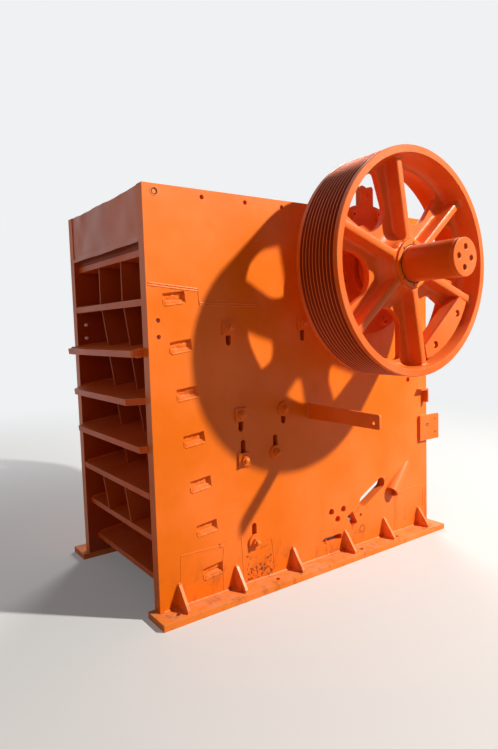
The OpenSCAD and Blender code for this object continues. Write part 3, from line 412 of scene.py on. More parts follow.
def fill_slot(fills, side, x, z):
    """The weld metal in one slot: a block with four slopes round a sunk bottom, and its passes."""
    bm = bmesh.new()
    block = bmesh.ops.create_cube(bm, size=1)["verts"]
    bmesh.ops.scale(bm, vec=(slot_length, 2 * fill_half, slot_height), verts=block)
    walls = {face for vert in block for face in vert.link_faces}
    outer = min(walls, key=lambda face: face.calc_center_median().y)
    slopes = bmesh.ops.inset_region(bm, faces=[outer], thickness=weld_leg, use_even_offset=True)["faces"]
    bmesh.ops.translate(bm, vec=(0, tab_depth - 0.003, 0), verts=outer.verts)
    low_corners = [vert for vert in outer.verts if vert.co.z < 0]
    bmesh.ops.translate(bm, vec=(-0.004, 0, low_leg), verts=low_corners)
    lines = list({edge for face in slopes for edge in face.edges})
    bmesh.ops.subdivide_edges(bm, edges=lines, cuts=7, use_grid_fill=True)
    block = bm.verts[:]
    lean = Matrix.Rotation(-front_lean, 4, "Y")
    at = Matrix.Translation(on_side(side, x, z, -fill_sunk)) @ lean @ Matrix.Scale(-side, 4, (0, 1, 0))
    for vert in block:
        deep = vert.co.y + fill_half
        if 0.002 < deep < tab_depth - 0.002:
            lump = noise.noise((at @ vert.co) * 65) + 0.5 * noise.noise((at @ vert.co) * 170)
            vert.co.y += 0.0048 * lump
            vert.co.z += 0.004 * lump
    bmesh.ops.transform(bm, matrix=at, verts=block)
    for share in (0.15, 0.45, 0.75):
        y, z = tab_depth * share - fill_half, (weld_leg + low_leg) * share - slot_height / 2
        ends = [at @ Vector((reach * slot_length / 2, y, z)) for reach in (-0.9, 0.9)]
        lay_bead(bm, ends, (0, side, 0), 0.0058, sides=8, ripple=0.2)
    fill = bpy.data.meshes.new("fill")
    bm.to_mesh(fill)
    bm.free()
    fills.from_mesh(fill)


for side, end in both_sides:
    fills = bmesh.new()
    for i in range(rib_count):
        x, z = slot_x + i * slot_pitch * front_slope, slot_z - i * slot_pitch
        fill_slot(fills, side, x, z)
        under = []
        for along in (-edge_bead_reach * slot_length / 2, edge_bead_reach * slot_length / 2):
            low = z - slot_height / 2 + along * front_slope
            under.append(on_side(side, x + along, low, edge_bead_sunk))
        ahead = [under[0], under[0] + Vector((0, 0, 0.6 * slot_height))]
        lay_bead(fills, under, (0, side, 0), 0.0060, sides=8, ripple=0.08)
        lay_bead(fills, ahead, (0, side, 0), 0.0052, sides=8, ripple=0.08)
    add_piece(fills, "slot_welds_" + end, weld_orange, sharp=50)

# Seams of the side plates: the plates were lengthened and patched. The long joint shows under the
# paint as two low beads close together, and the outlines of the patches as thinner uneven beads.
seam_drop, seam_sunk, seam_width = 0.013, -0.0024, 0.0060
scar_sunk, scar_width = -0.0016, 0.0042
plate_seam = [(0.004, 1.906), (0.12, 1.894), (0.333, 1.874), (0.340, 1.792), (0.52, 1.789), (0.784, 1.786)]
near_scars = [
    [(0.149, 0.03), (0.142, 0.15), (0.149, 0.307), (0.21, 0.306), (0.318, 0.303), (0.452, 0.297)],
    [(0.449, 0.29), (0.439, 0.17), (0.441, 0.01)],
    [(0.60, 0.02), (0.592, 0.14), (0.585, 0.32)],
    [(0.845, 0.03), (0.838, 0.13), (0.826, 0.25)],
    [(2.049, 0.311), (2.2, 0.318), (2.434, 0.313)],
    [(2.049, 0.30), (2.045, 0.2), (2.047, 0.03)],
    [(2.072, 0.29), (2.068, 0.2), (2.07, 0.1)],
    [(2.429, 0.30), (2.426, 0.18), (2.428, 0.02)],
    [(2.395, 0.29), (2.398, 0.2), (2.396, 0.12)],
    [(1.30, 0.03), (1.318, 0.075), (1.312, 0.12)],
]
for (side, end), scars in zip(both_sides, (near_scars, [])):
    seams = bmesh.new()
    for drop in (0, seam_drop):
        line = [on_side(side, x, z - drop, seam_sunk) for x, z in plate_seam]
        lay_bead(seams, line, (0, side, 0), seam_width, sides=8, ripple=0.07)
    for scar in scars:
        line = [on_side(side, x, z, scar_sunk) for x, z in scar]
        lay_bead(seams, line, (0, side, 0), scar_width, sides=8)
    add_piece(seams, "plate_seams_" + end, weld_orange)


# Small parts on the side plates: a plug in the first hopper hole with a raised ring round it, and
# a flat dark ring as painted shade for its groove, faint round marks of filled holes, a dark ring near
# the foot, and a thin dark strip as painted shade for a flame-cut slit in line with the spring window.
def turned_part(bm, outline, place, out, steps=24):
    """Spins an outline of (radius, height) points round an axis that stands at place along out."""
    turn = Matrix.Translation(place) @ Vector(out).to_track_quat("Z", "Y").to_matrix().to_4x4()
    points = [bm.verts.new(turn @ Vector((radius, 0, height))) for radius, height in outline]
    lines = [bm.edges.new(pair) for pair in zip(points, points[1:])]
    bmesh.ops.spin(
        bm, geom=points + lines, cent=place, axis=Vector(out), dvec=(0, 0, 0),
        angle=math.tau, steps=steps, use_merge=True, use_duplicate=False
    )
    bmesh.ops.remove_doubles(bm, verts=bm.verts, dist=same_point)


def low_ring(bm, inner, outer, height, slope, place, out, steps=32):
    """A low ring with sloping walls that starts a millimetre under the face it lies on."""
    foot = -0.001
    walls = [(inner, foot), (inner + slope, height), (outer - slope, height), (outer, foot), (inner, foot)]
    turned_part(bm, walls, place, out, steps)


def dirty_steel(name, colour, gloss):
    """Bare steel that has gone brown, with fine pits."""
    finish, tree, shader = new_finish(name)
    place = lay_node(tree, "TexCoord").outputs["Object"]
    brown = band(tree, cloud(tree, place, 38, 6, rough=0.65), 0.35, 0.65)
    tree.links.new(tone(tree, brown, colour, (0.09, 0.03, 0.015, 1)), shader.inputs["Base Color"])
    tree.links.new(band(tree, brown, 0, 1, gloss, 0.85), shader.inputs["Roughness"])
    tree.links.new(band(tree, brown, 0, 1, 0.7, 0.1), shader.inputs["Metallic"])
    roughen(tree, shader, figure(tree, "MULTIPLY", cloud(tree, place, 240, 4), 0.0012), 0.7)
    return finish


# Near-black steel for thin strips that stand in for the shade in narrow gaps.
gap_shade_steel = dirty_steel("gap_shade_steel", (0.07, 0.05, 0.04, 1), 0.6)
# Near-black red for real dark marks, and as painted shade in grooves, joints and recesses.
deep_red = enamel("deep_red", (0.16, 0.022, 0.006, 1), chips=0.5, gloss=0.6)
plug_x, hopper_row = 0.075, 2.407
plug_outline = [(0, 0.004), (0.0125, 0.004), (0.014, 0.0), (0.014, -0.03), (0, -0.03)]
for side, end in both_sides:
    out = (0, side, 0)
    plugs = bmesh.new()
    turned_part(plugs, plug_outline, on_side(side, plug_x, hopper_row, -0.006), out)
    low_ring(plugs, 0.019, 0.026, 0.0022, 0.0015, on_side(side, plug_x, hopper_row), out)
    add_piece(plugs, "hole_plugs_" + end, worn_orange)
    # The groove is drawn as a flat dark ring: painted shade.
    grooves = bmesh.new()
    low_ring(grooves, 0.0135, 0.0195, 0.0006, 0, on_side(side, plug_x, hopper_row), out)
    add_piece(grooves, "plug_groove_shades_" + end, deep_red)
marks = bmesh.new()
for x, z, reach in ((1.243, 1.202, 0.03), (1.512, 1.49, 0.022)):
    low_ring(marks, reach - 0.006, reach + 0.002, 0.0013, 0.002, on_side(-1, x, z), (0, -1, 0))
add_piece(marks, "filled_holes", weld_orange)
ring = bmesh.new()
low_ring(ring, 0.024, 0.030, 0.001, 0.0015, on_side(-1, 1.683, 0.113), (0, -1, 0))
add_piece(ring, "foot_ring", deep_red)
# The slit is drawn as a thin dark strip: painted shade.
slit = bmesh.new()
for ends in (((1.594, 0.250), (1.668, 0.291)), ((1.925, 0.426), (1.975, 0.452))):
    lay_bead(slit, [on_side(-1, *point, -0.0012) for point in ends], (0, -1, 0), 0.0022)
add_piece(slit, "window_slit", gap_shade_steel)

# Feet: flange strips welded along the side plates, with triangular gussets. The upper faces carry
# dust and the paint is worn off the edges.
foot_orange = enamel("foot_orange", (0.93, 0.24, 0.04, 1), chips=0.5, foot_wear=0.85, dust=0.75, gloss=0.4)
foot_worn = enamel("foot_worn", (0.85, 0.28, 0.08, 1), chips=1.0, foot_wear=1.1, dust=0.8, gloss=0.5)
gusset_places = (0.13, 0.54, 1.005, 1.5, 1.92, 2.33)
gusset_thick, gusset_high, gusset_reach = 0.02, 0.142, 0.11
for side, end in both_sides:
    soften_edges("foot_flange_" + end, 0.004, foot_orange, foot_worn)
    beads = bmesh.new()
    lay_bead(beads, [on_side(side, 0.004, 0), on_side(side, 2.446, 0)], (0, side, 1), 0.010)
    for x in gusset_places:
        for face in (-1, 1):
            at = x + face * gusset_thick / 2
            upright = [on_side(side, at, 0.004), on_side(side, at, gusset_high + 0.006)]
            level = [on_side(side, at, 0, 0.004), on_side(side, at, 0, gusset_reach)]
            lay_bead(beads, upright, (face, side, 0), 0.008)
            lay_bead(beads, level, (face, 0, 1), 0.008)
        over = [on_side(side, x - 0.014, gusset_high), on_side(side, x + 0.014, gusset_high)]
        lay_bead(beads, over, (0, side, 1), 0.009)
    add_piece(beads, "foot_welds_" + end, weld_orange)


# Front panel: a thin sheet between the side plates, dented by rocks. Its top edge is wavy, and its
# lower edge is folded forward into a narrow lip. A dark strip behind the lip is painted shade.
panel_low, panel_top, panel_x, panel_half, panel_thick = 2.188, 2.490, -1.025, 0.5445, 0.012
panel = bmesh.new()
bmesh.ops.create_grid(panel, x_segments=66, y_segments=26, size=0.5)
for vert in panel.verts:
    across, rise = vert.co.x * 2, vert.co.y + 0.5
    y = across * panel_half
    edge = max(0.0, rise - 0.55) / 0.45
    wave = 0.55 * noise.noise(Vector((y * 4.1, 3.1, 0))) + 0.35 * noise.noise(Vector((y * 9.7, 7.7, 0)))
    held = min(1.0, (1 - abs(across)) * 3.5)
    dent = 0.010 * held * noise.noise(Vector((y * 5.0, 1.3, rise * 1.6))) + 0.012 * held * edge ** 2 * wave
    fold = 0.007 * max(0.0, 1 - rise / 0.05)
    z = panel_low + (panel_top - panel_low) * rise - 0.017 * held * edge * (0.35 - wave)
    vert.co = (panel_x + dent - fold, y, z)
bmesh.ops.solidify(panel, geom=panel.faces[:], thickness=panel_thick)
# The panel's paler, pinker paint is partly fading and partly the cool light of its shade, painted in.
faded_skylit_orange = enamel("faded_skylit_orange", (0.90, 0.25, 0.14, 1), chips=0.2, dust=0.2, gloss=0.3, grain=0.3)
add_piece(panel, "dented_panel", faded_skylit_orange, stands_for=["front_panel"], sharp=55)
# A near-black paint for a strip that stands in for the shade under the panel's lip.
painted_shade_orange = enamel("painted_shade_orange", (0.30, 0.05, 0.01, 1), chips=0.4, dust=0.2, gloss=0.6, grain=0.5)
shade_backing = bmesh.new()
strip = bmesh.ops.create_cube(shade_backing, size=1)["verts"]
bmesh.ops.scale(shade_backing, vec=(0.008, 2 * panel_half, 0.075), verts=strip)
bmesh.ops.translate(shade_backing, vec=(panel_x + 0.034, 0, panel_low - 0.006), verts=strip)
add_piece(shade_backing, "panel_backing", painted_shade_orange)

# Ribbed front: the ledge, the leaning plate and seven ribs with gussets between them, all welded
# from flame-cut plate. The ledge and ribs take a darker, redder paint than the side plates, and the
# deep bays a darker one still, both as painted shade.
# Both front paints are darker than the side plates' paint: painted shade.
front_shade_orange = enamel("front_shade_orange", (0.84, 0.125, 0.014, 1), chips=0.25, dust=0.3, gloss=0.34, grain=0.4)
inner_paint = enamel("inner_paint", (0.55, 0.085, 0.012, 1), chips=0.35, dust=0.35, gloss=0.5, grain=0.5)
inner_shade_worn = enamel("inner_shade_worn", (0.60, 0.11, 0.025, 1), chips=0.8, dust=0.4, gloss=0.55, grain=0.5)
for node in ["front_ledge"] + ["front_rib_%d" % (i + 1) for i in range(rib_count)]:
    soften_edges(node, 0.003, front_shade_orange, worn_orange)
for node in ("front_plate", "front_gussets_near", "front_gussets_far"):
    soften_edges(node, 0.002, inner_paint, inner_shade_worn)
rib_out = [0, 0.075, 0.080, 0.040, 0, -0.038, -0.075]
rib_corner = [0, 0.008, 0.080, 0.034, 0.008, 0, 0]
inner_half, rib_half, bay_deep, bay_width = 0.545, 0.02, 0.3, 1.09 / 6
ledge_top, ledge_front, ledge_back = 2.145, -0.99, -0.74
rib_beads = bmesh.new()
for i in range(rib_count):
    middle = slot_x + i * slot_pitch * front_slope
    height = slot_z - i * slot_pitch
    front = rib_corner[i] - rib_out[i] + 0.01
    back = bay_deep + (slot_z - height) * front_slope
    for up in (-1, 1):
        face = height + up * rib_half / math.cos(front_lean)
        ends = [(x, face + (x - middle) * front_slope) for x in (front, back)]
        for side in (-1, 1):
            path = [(plate_front + x, side * inner_half, foot_top + z) for x, z in ends]
            lay_bead(rib_beads, path, (0, -side, up), 0.008)
        x, z = ends[1]
        path = [(plate_front + x, y, foot_top + z) for y in (-inner_half, inner_half)]
        lay_bead(rib_beads, path, (-1, 0, up), 0.008)
for side in (-1, 1):
    path = [(panel_x + 0.008, side * inner_half, z) for z in (panel_low + 0.01, panel_top - 0.03)]
    lay_bead(rib_beads, path, (-1, -side, 0), 0.006)
    path = [(x, side * inner_half, ledge_top) for x in (ledge_front, ledge_back)]
    lay_bead(rib_beads, path, (0, -side, 1), 0.007)
    for face in (-1, 1):
        y = side * bay_width + face * 0.008
        for i in range(rib_count - 1):
            low = slot_z - (i + 1) * slot_pitch + 0.06
            path = []
            for z in (low, low + 0.19):
                path.append((plate_front + bay_deep + (slot_z - z) * front_slope, y, foot_top + z))
            lay_bead(rib_beads, path, (-1, face, 0), 0.006)
add_piece(rib_beads, "front_welds", weld_orange)


# Crushing chamber: corrugated dies and cheek plates of manganese steel, worn bright on the ridges and
# brown in the grooves, with rock dust. The swing jaw's casting and the toggle are painted.
def worn_manganese(name, colour):
    """Manganese steel scored up and down, with rust in patches and rock dust."""
    finish, tree, shader = new_finish(name)
    place = lay_node(tree, "TexCoord").outputs["Object"]
    scored = band(tree, cloud(tree, place, 26, 5, (1, 1, 0.08)), 0.35, 0.65)
    rusty = band(tree, cloud(tree, place, 5, 7, rough=0.62), 0.42, 0.62)
    dusted = band(tree, cloud(tree, place, 17, 6), 0.5, 0.75, 0, 0.5)
    metal = tone(tree, scored, colour, (0.20, 0.16, 0.13, 1))
    metal = tone(tree, rusty, metal, (0.16, 0.055, 0.022, 1))
    metal = tone(tree, dusted, metal, (0.38, 0.32, 0.26, 1))
    tree.links.new(metal, shader.inputs["Base Color"])
    tree.links.new(band(tree, rusty, 0, 1, 0.42, 0.85), shader.inputs["Roughness"])
    tree.links.new(band(tree, rusty, 0, 1, 0.75, 0.05), shader.inputs["Metallic"])
    scores, pits = figure(tree, "MULTIPLY", scored, 0.0012), figure(tree, "MULTIPLY", rusty, 0.0010)
    roughen(tree, shader, figure(tree, "ADD", scores, pits), 0.8)
    return finish


jaw_steel = worn_manganese("jaw_steel", (0.32, 0.27, 0.23, 1))
jaw_bright = worn_manganese("jaw_bright", (0.45, 0.40, 0.36, 1))
for node in ("fixed_jaw_die", "swing_jaw_die", "die_wedge", "cheek_plates_near", "cheek_plates_far"):
    soften_edges(node, 0.005, jaw_steel, jaw_bright)
# Inside the machine the jaw and the toggle parts take the darker paint of painted shade.
soften_edges("swing_jaw", 0.008, inner_paint, inner_shade_worn)
for node in ("toggle_plate", "toggle_block", "rear_beam", "rear_tie", "tension_rods"):
    soften_edges(node, 0.003, inner_paint, inner_shade_worn)

# Cheek plate clamps: washers and hexagon nuts hold bolts that reach into the chamber. The threaded
# bolt ends stand out of the nuts under thick paint.
clamp_places = [
    (0.535, 1.638), (1.132, 1.656), (0.608, 1.098), (0.951, 1.098),
    (0.621, 0.812), (0.878, 0.819), (0.688, 0.264),
]
thread = [(0.0125 + 0.002 * (i % 2), 0.0155 - 0.0018 * i) for i in range(9)]
stud = [(0, 0.016)] + thread + [(0.014, -0.006)]
for side, end in both_sides:
    soften_edges("cheek_clamps_" + end, 0.003, frame_orange, worn_orange)
    studs = bmesh.new()
    for x, z in clamp_places:
        turned_part(studs, stud, on_side(side, x, z, 0.034), (0, side, 0), 20)
    add_piece(studs, "clamp_studs_" + end, worn_orange, sharp=60)

# Rear: the tie and the box beam are welded between the side plates, and two rods with coil springs
# hold the toggle plate in its seats. The springs are bare steel wire.
spring_place, rod_y, toggle_slope = (0.766, 0.412), 0.435, math.radians(28)
spring_reach, coil_r, wire_r, turns, steps_a_turn = 0.308, 0.052, 0.011, 7, 30
spring_steel = dirty_steel("spring_steel", (0.42, 0.38, 0.35, 1), 0.35)
for side, end in both_sides:
    coil = bmesh.new()
    first_ring = Matrix.Translation((-spring_reach / 2, coil_r, 0))
    bmesh.ops.create_circle(coil, segments=10, radius=wire_r, cap_ends=True, matrix=first_ring)
    steps = turns * steps_a_turn
    bmesh.ops.spin(
        coil, geom=coil.verts[:] + coil.edges[:] + coil.faces[:], cent=(0, 0, 0), axis=(1, 0, 0),
        dvec=(spring_reach / steps, 0, 0), angle=turns * math.tau, steps=steps,
        use_merge=False, use_duplicate=False
    )
    at = Matrix.Translation((spring_place[0], side * rod_y, spring_place[1]))
    at = at @ Matrix.Rotation(-toggle_slope, 4, "Y")
    bmesh.ops.transform(coil, matrix=at, verts=coil.verts)
    stands_for = ["tension_springs"] if side < 0 else ()
    add_piece(coil, "coil_spring_" + end, spring_steel, stands_for=stands_for)
tie_x, tie_z, tie_reach = 1.229, 2.270, 0.110
beam_low, beam_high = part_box("rear_beam")
rear_beads = bmesh.new()
for side in (-1, 1):
    y = side * inner_half
    ring = []
    for a in [math.tau * i / 32 for i in range(33)]:
        ring.append((tie_x + tie_reach * math.cos(a), y, tie_z + tie_reach * math.sin(a)))
    lay_bead(rear_beads, ring, (0, -side, 0), 0.009)
    for z in (beam_low.z, beam_high.z):
        lay_bead(rear_beads, [(beam_high.x - 0.30, y, z), (beam_high.x, y, z)], (0, -side, 0), 0.009)
    lay_bead(rear_beads, [(beam_high.x, y, z) for z in (beam_low.z, beam_high.z)], (1, -side, 0), 0.009)
add_piece(rear_beads, "rear_welds", inner_shade_worn)

# Bearing housings: cast drums bolted to the side plates, each with a lifting lug and a cover with
# hexagon bolts. Ten socket screws on washers sit near the drum's edge.
housing_x, housing_z, housing_front = 0.546, 2.050, 0.800
screw_count, screw_circle, first_screw = 10, 0.385, 76.5
washer = [(0.012, 0.009), (0.032, 0.009), (0.035, 0.006), (0.035, -0.003)]
cast_orange = enamel("cast_orange", (0.9, 0.195, 0.02, 1), chips=0.15, dust=0.35, gloss=0.34, grain=1.3)


def round_shaft(radius, angle, y):
    """A point at a radius and an angle round the shaft's axis, y along it."""
    return Vector((housing_x + radius * math.cos(angle), y, housing_z + radius * math.sin(angle)))


def socket_screw(bm, place, out, radius, height):
    """A round screw head with a sunk socket."""
    edge, key, sunk = 0.12 * radius, 0.5 * radius, height * 0.35
    head = [(key, sunk), (key, height), (radius - edge, height), (radius, height - edge), (radius, -0.004)]
    turned_part(bm, head, place, out, 24)
    turned_part(bm, [(0, sunk), (key, sunk)], place, out, 24)


for side, end in both_sides:
    soften_edges("bearing_housing_" + end, 0.006, cast_orange, worn_orange)
    soften_edges("bearing_cover_" + end, 0.003, cast_orange, worn_orange)
    screws = bmesh.new()
    for i in range(screw_count):
        angle = math.radians(first_screw + 360 / screw_count * i)
        place = round_shaft(screw_circle, angle, side * housing_front)
        turned_part(screws, washer, place, (0, side, 0), 28)
        socket_screw(screws, place, (0, side, 0), 0.024, 0.026)
    add_piece(screws, "housing_screws_" + end, worn_orange)

# Arm, brackets and pipe stub on the near plate: flat bars and a pipe welded on, for a wheel guard
# and a grease line. The lower bracket has a small dark oval mark.
dull_orange = enamel("dull_orange", (0.88, 0.17, 0.014, 1), chips=0.3, gloss=0.5)
for node in ("guard_arm", "rear_brackets", "pipe_stub"):
    soften_edges(node, 0.0025, dull_orange, worn_orange)
arm_low, arm_high, arm_front, arm_back = 1.008, 1.110, 1.168, 1.186
fitting_beads = [
    ((arm_front, arm_low), (arm_front, arm_high), (-1, -1, 0), 0.007),
    ((arm_back, arm_low), (arm_back, arm_high), (1, -1, 0), 0.007),
    ((arm_front, arm_low), (arm_back, arm_low), (0, -1, -1), 0.007),
    ((arm_front, arm_high), (arm_back, arm_high), (0, -1, 1), 0.007),
    ((2.345, 0.684), (2.345, 0.892), (-1, -1, 0), 0.008),
    ((2.345, 0.890), (2.449, 0.890), (0, -1, 1), 0.008),
    ((2.345, 0.686), (2.449, 0.686), (0, -1, -1), 0.007),
    ((2.330, 1.098), (2.416, 1.098), (0, -1, -1), 0.006),
    ((2.330, 1.110), (2.420, 1.110), (0, -1, 1), 0.006),
]
fittings = bmesh.new()
for start, end, out, width in fitting_beads:
    lay_bead(fittings, [on_side(-1, *start), on_side(-1, *end)], out, width)
add_piece(fittings, "fitting_welds", weld_orange)
mark_x, mark_z, mark_out = 2.433, 0.813, 0.0215
oval = []
for a in [math.tau * i / 20 for i in range(21)]:
    oval.append(on_side(-1, mark_x + 0.016 * math.cos(a), mark_z + 0.009 * math.sin(a), mark_out))
mark = bmesh.new()
lay_bead(mark, oval, (0, -1, 0), 0.0034, ripple=0)
add_piece(mark, "bracket_mark", deep_red)

# Shaft and hub rings: the shaft is painted over its turned surface, and each hub is clamped by a
# ring with eight sunk screws. A thin dark ring round the shaft is painted shade of the gap there.
# The drive end has a chamfered disc in the wheels' paint, with four bolts in recesses; the bolts and
# the recess floors are near-black as painted shade.
wheel_orange = enamel(
    "wheel_orange", (0.85, 0.175, 0.035, 1), chips=0.1, foot_wear=0, dust=0.2, gloss=0.3, grain=0.9)
shaft_paint = enamel(
    "shaft_paint", (0.78, 0.13, 0.014, 1), chips=0.12, foot_wear=0, dust=0.25, gloss=0.3, grain=0.1)
soften_edges("eccentric_shaft", 0.002, shaft_paint, worn_orange)
soften_edges("shaft_end_cap", 0.005, wheel_orange, worn_orange)
ring_screw_circle, ring_screw_y, joint_y = 0.130, 1.174, 1.185
rotor_screws = bmesh.new()
for side, end in both_sides:
    soften_edges("hub_ring_" + end, 0.002, cast_orange, worn_orange)
    for i in range(8):
        place = round_shaft(ring_screw_circle, math.radians(45 * i) * -side, side * ring_screw_y)
        socket_screw(rotor_screws, place, (0, side, 0), 0.0075, 0.004)
add_piece(rotor_screws, "rotor_screws", worn_orange, body="rotor")
cap_face, cap_recess, cap_circle, cap_turn = 1.549, 0.018, 0.060, math.radians(4)
cap_bolt = [(0, 0.008), (0.010, 0.008), (0.0125, 0.006), (0.0125, 0)]
cap_recess_floor = [(0, 0.0015), (0.0165, 0.0015), (0.0165, -0.002)]
# Near-black bolts and recess floors: painted shade in the recesses.
cap_bolts = bmesh.new()
for i in range(4):
    place = round_shaft(cap_circle, math.radians(90 * i) + cap_turn, cap_recess - cap_face)
    turned_part(cap_bolts, cap_bolt, place, (0, -1, 0), 6)
    turned_part(cap_bolts, cap_recess_floor, place, (0, -1, 0), 24)
add_piece(cap_bolts, "cap_bolts", deep_red, body="rotor")
# The dark ring at each hub is painted shade of the gap round the shaft.
for side, end in both_sides:
    joint = bmesh.new()
    low_ring(joint, 0.1175, 0.124, 0.0015, 0, round_shaft(0, 0, side * joint_y), (0, side, 0), 64)
    add_piece(joint, "hub_joint_" + end, deep_red, body="rotor")

# Flywheels: six-spoked cast wheels. The solid's web, fins and hub are recast with the large fillets
# and soft edges of a casting, and the rim is turned, with ten belt grooves on the drive side. The
# walls of the grooves get a dark red paint as painted shade.
wheel_face, rim_r, rim_inner, rim_width = 1.225, 0.7129, 0.666, 0.345
rim_bore, rim_lip, rim_cut, rim_buried, rim_edge = 0.6655, 0.669, 0.676, 0.680, 0.004
groove_pitch, groove_wall = 0.0286, [(0.0006, 0.0118), (0.002, 0.0110), (0.023, 0.0056), (0.024, 0.0048)]
fin_half, web_front, web_back, hub_reach = 0.025, 0.150, 0.195, 0.165
first_fin, fin_pitch = math.radians(40.5), math.pi / 3
fin_fillet, ring_fillet, hub_fillet = 0.016, 0.046, 0.088
mould_grain, cast_passes = 0.008, 2
# Dark red for the groove walls: painted shade in the deep grooves.
groove_shade_red = enamel("groove_shade_red", (0.42, 0.05, 0.008, 1), chips=0.3, foot_wear=0, dust=0.1, gloss=0.45)


def round_corner(run, rise, radius):
    """Moves a point in a square corner out to a fillet of that radius."""
    if run >= radius or rise >= radius:
        return run, rise
    off = Vector((radius - run, radius - rise))
    if off.length <= radius:
        return run, rise
    off *= radius / off.length
    return radius - off.x, radius - off.y


def cast_form(vert, side):
    """Fillets between the fins, the web, the hub and the rim, for one point of the wheel."""
    x, z = vert.co.x - housing_x, vert.co.z - housing_z
    depth = wheel_face - side * vert.co.y
    r, a = math.hypot(x, z), math.atan2(z, x)
    front = depth < (web_front + web_back) / 2
    rise = web_front - depth if front else depth - web_back
    if rise < -0.012:
        return
    rise = max(rise, 0.0)
    run, new_rise = round_corner(max(rim_inner - r, 0.0), rise, ring_fillet)
    r = rim_inner - run if r < rim_inner else r
    run, new_rise = round_corner(max(r - hub_reach, 0.0), new_rise, hub_fillet if front else ring_fillet)
    r = hub_reach + run if r > hub_reach else r
    if front and hub_reach < r < rim_inner:
        turn = (a - first_fin + fin_pitch / 2) % fin_pitch - fin_pitch / 2
        fin = a - turn
        along, across = r * math.cos(turn), r * math.sin(turn)
        gap = abs(across) - fin_half
        if gap > 0:
            gap, new_rise = round_corner(gap, new_rise, fin_fillet)
            across = math.copysign(fin_half + gap, across)
            r, a = math.hypot(along, across), fin + math.atan2(across, along)
    depth = web_front - new_rise if front else web_back + new_rise
    vert.co = round_shaft(r, a, side * (wheel_face - depth))


def smooth_casting(bm, verts):
    """Evens out the steps that the mould leaves."""
    for _ in range(cast_passes):
        bmesh.ops.smooth_vert(
            bm, verts=verts, factor=0.5, use_axis_x=True, use_axis_y=True, use_axis_z=True
        )


def rim_outline(grooves):
    """The turned rim's section, as (radius, depth) points from the wheel's face."""
    outline = [(rim_bore, 0.030), (rim_bore, rim_edge), (rim_lip, 0.0), (rim_r - rim_edge, 0.0)]
    outline += [(rim_r, rim_edge)]
    for i in range(grooves):
        middle = (rim_width - (grooves - 1) * groove_pitch) / 2 + i * groove_pitch
        outline += [(rim_r - deep, middle - half) for deep, half in groove_wall]
        outline += [(rim_r - deep, middle + half) for deep, half in reversed(groove_wall)]
    outline += [(rim_r, rim_width - rim_edge), (rim_r - rim_edge, rim_width), (rim_lip, rim_width)]
    outline += [(rim_bore, rim_width - rim_edge), (rim_bore, rim_width - 0.030)]
    outline += [(rim_buried, rim_width - 0.045), (rim_buried, 0.045), (rim_bore, 0.030)]
    return outline


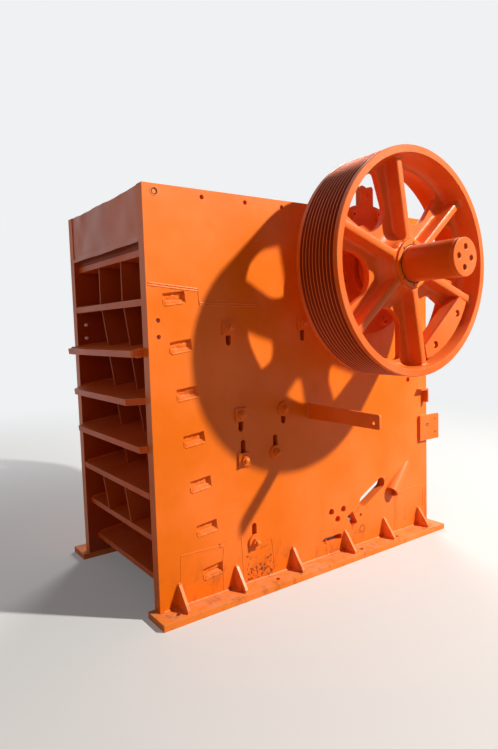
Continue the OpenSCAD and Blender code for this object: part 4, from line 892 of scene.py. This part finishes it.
def cast_wheel(node, name, side, grooves, finish):
    """Recasts a wheel from its own solid inside the rim, and sets a turned rim round it."""
    blank = bpy.data.objects.new(name + "_blank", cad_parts[node].data.copy())
    bpy.context.scene.collection.objects.link(blank)
    join = blank.modifiers.new("join_faces", "WELD")
    join.merge_threshold = joined_within
    mould = blank.modifiers.new("mould", "REMESH")
    mould.mode = "VOXEL"
    mould.voxel_size = mould_grain
    bpy.context.view_layer.update()
    recast = bpy.data.meshes.new_from_object(blank.evaluated_get(bpy.context.evaluated_depsgraph_get()))
    bpy.data.objects.remove(blank)
    bm = bmesh.new()
    bm.from_mesh(recast)
    outside = []
    for vert in bm.verts:
        if math.hypot(vert.co.x - housing_x, vert.co.z - housing_z) > rim_cut:
            outside.append(vert)
    bmesh.ops.delete(bm, geom=outside, context="VERTS")
    inner = [vert for vert in bm.verts if not vert.is_boundary]
    smooth_casting(bm, inner)
    for vert in bm.verts:
        cast_form(vert, side)
    smooth_casting(bm, [vert for vert in inner if wheel_face - side * vert.co.y > web_front / 2])
    bmesh.ops.bridge_loops(bm, edges=[edge for edge in bm.edges if edge.is_boundary])
    rim = bmesh.new()
    outline = [(r, -depth) for r, depth in rim_outline(grooves)]
    turned_part(rim, outline, round_shaft(0, 0, side * wheel_face), (0, side, 0), 160)
    rim_mesh = bpy.data.meshes.new(name + "_rim")
    rim.to_mesh(rim_mesh)
    rim.free()
    bm.from_mesh(rim_mesh)
    wheel = add_piece(bm, name, finish, body="rotor", stands_for=[node], sharp=32)
    wheel.data.materials.append(groove_shade_red)
    for face in wheel.data.polygons:
        r = math.hypot(face.center.x - housing_x, face.center.z - housing_z)
        depth = wheel_face - side * face.center.y
        if rim_buried + 0.004 < r < rim_r - 0.003 and 0.01 < depth < rim_width - 0.01:
            face.material_index = 1


cast_wheel("grooved_flywheel", "drive_wheel", -1, 10, wheel_orange)
cast_wheel("plain_flywheel", "balance_wheel", 1, 0, wheel_orange)

# Counterweights: thick segments bolted between two fins of each wheel. A cover plate on the front
# leaves a thin seam along the inner edge, drawn as a dark line of painted shade, and the bolts sit
# in recesses.
weight_angle, weight_inner, weight_seam, seam_half = math.radians(-49.5), 0.480, 0.067, 0.24
weight_circle, weight_turn, weight_y = 0.572, math.radians(16), 1.145
bolt_outline = [(0, 0.014), (0.014, 0.014), (0.018, 0.011), (0.018, -0.02)]
recess_outline = [(0, -0.001), (0.0246, -0.001), (0.0246, -0.01)]
for side, end in both_sides:
    soften_edges("counterweight_" + end, 0.005, wheel_orange, worn_orange)
    bolts = bmesh.new()
    for face in (-1, 1):
        place = round_shaft(weight_circle, weight_angle + face * weight_turn, side * weight_y)
        turned_part(bolts, bolt_outline, place, (0, side, 0), 6)
        turned_part(bolts, recess_outline, place, (0, side, 0), 24)
    add_piece(bolts, "weight_bolts_" + end, worn_orange, body="rotor")
    along = Vector((math.cos(weight_angle), 0, math.sin(weight_angle)))
    across = Vector((-along.z, 0, along.x))
    middle = round_shaft(weight_inner, weight_angle, side * (wheel_face - weight_seam))
    ends = [middle + across * reach for reach in (-seam_half, seam_half)]
    # The seam is a thin dark line: painted shade in the gap.
    seam = bmesh.new()
    lay_bead(seam, ends, along, 0.0014, sides=4, ripple=0)
    add_piece(seam, "weight_seam_" + end, gap_shade_steel, body="rotor")
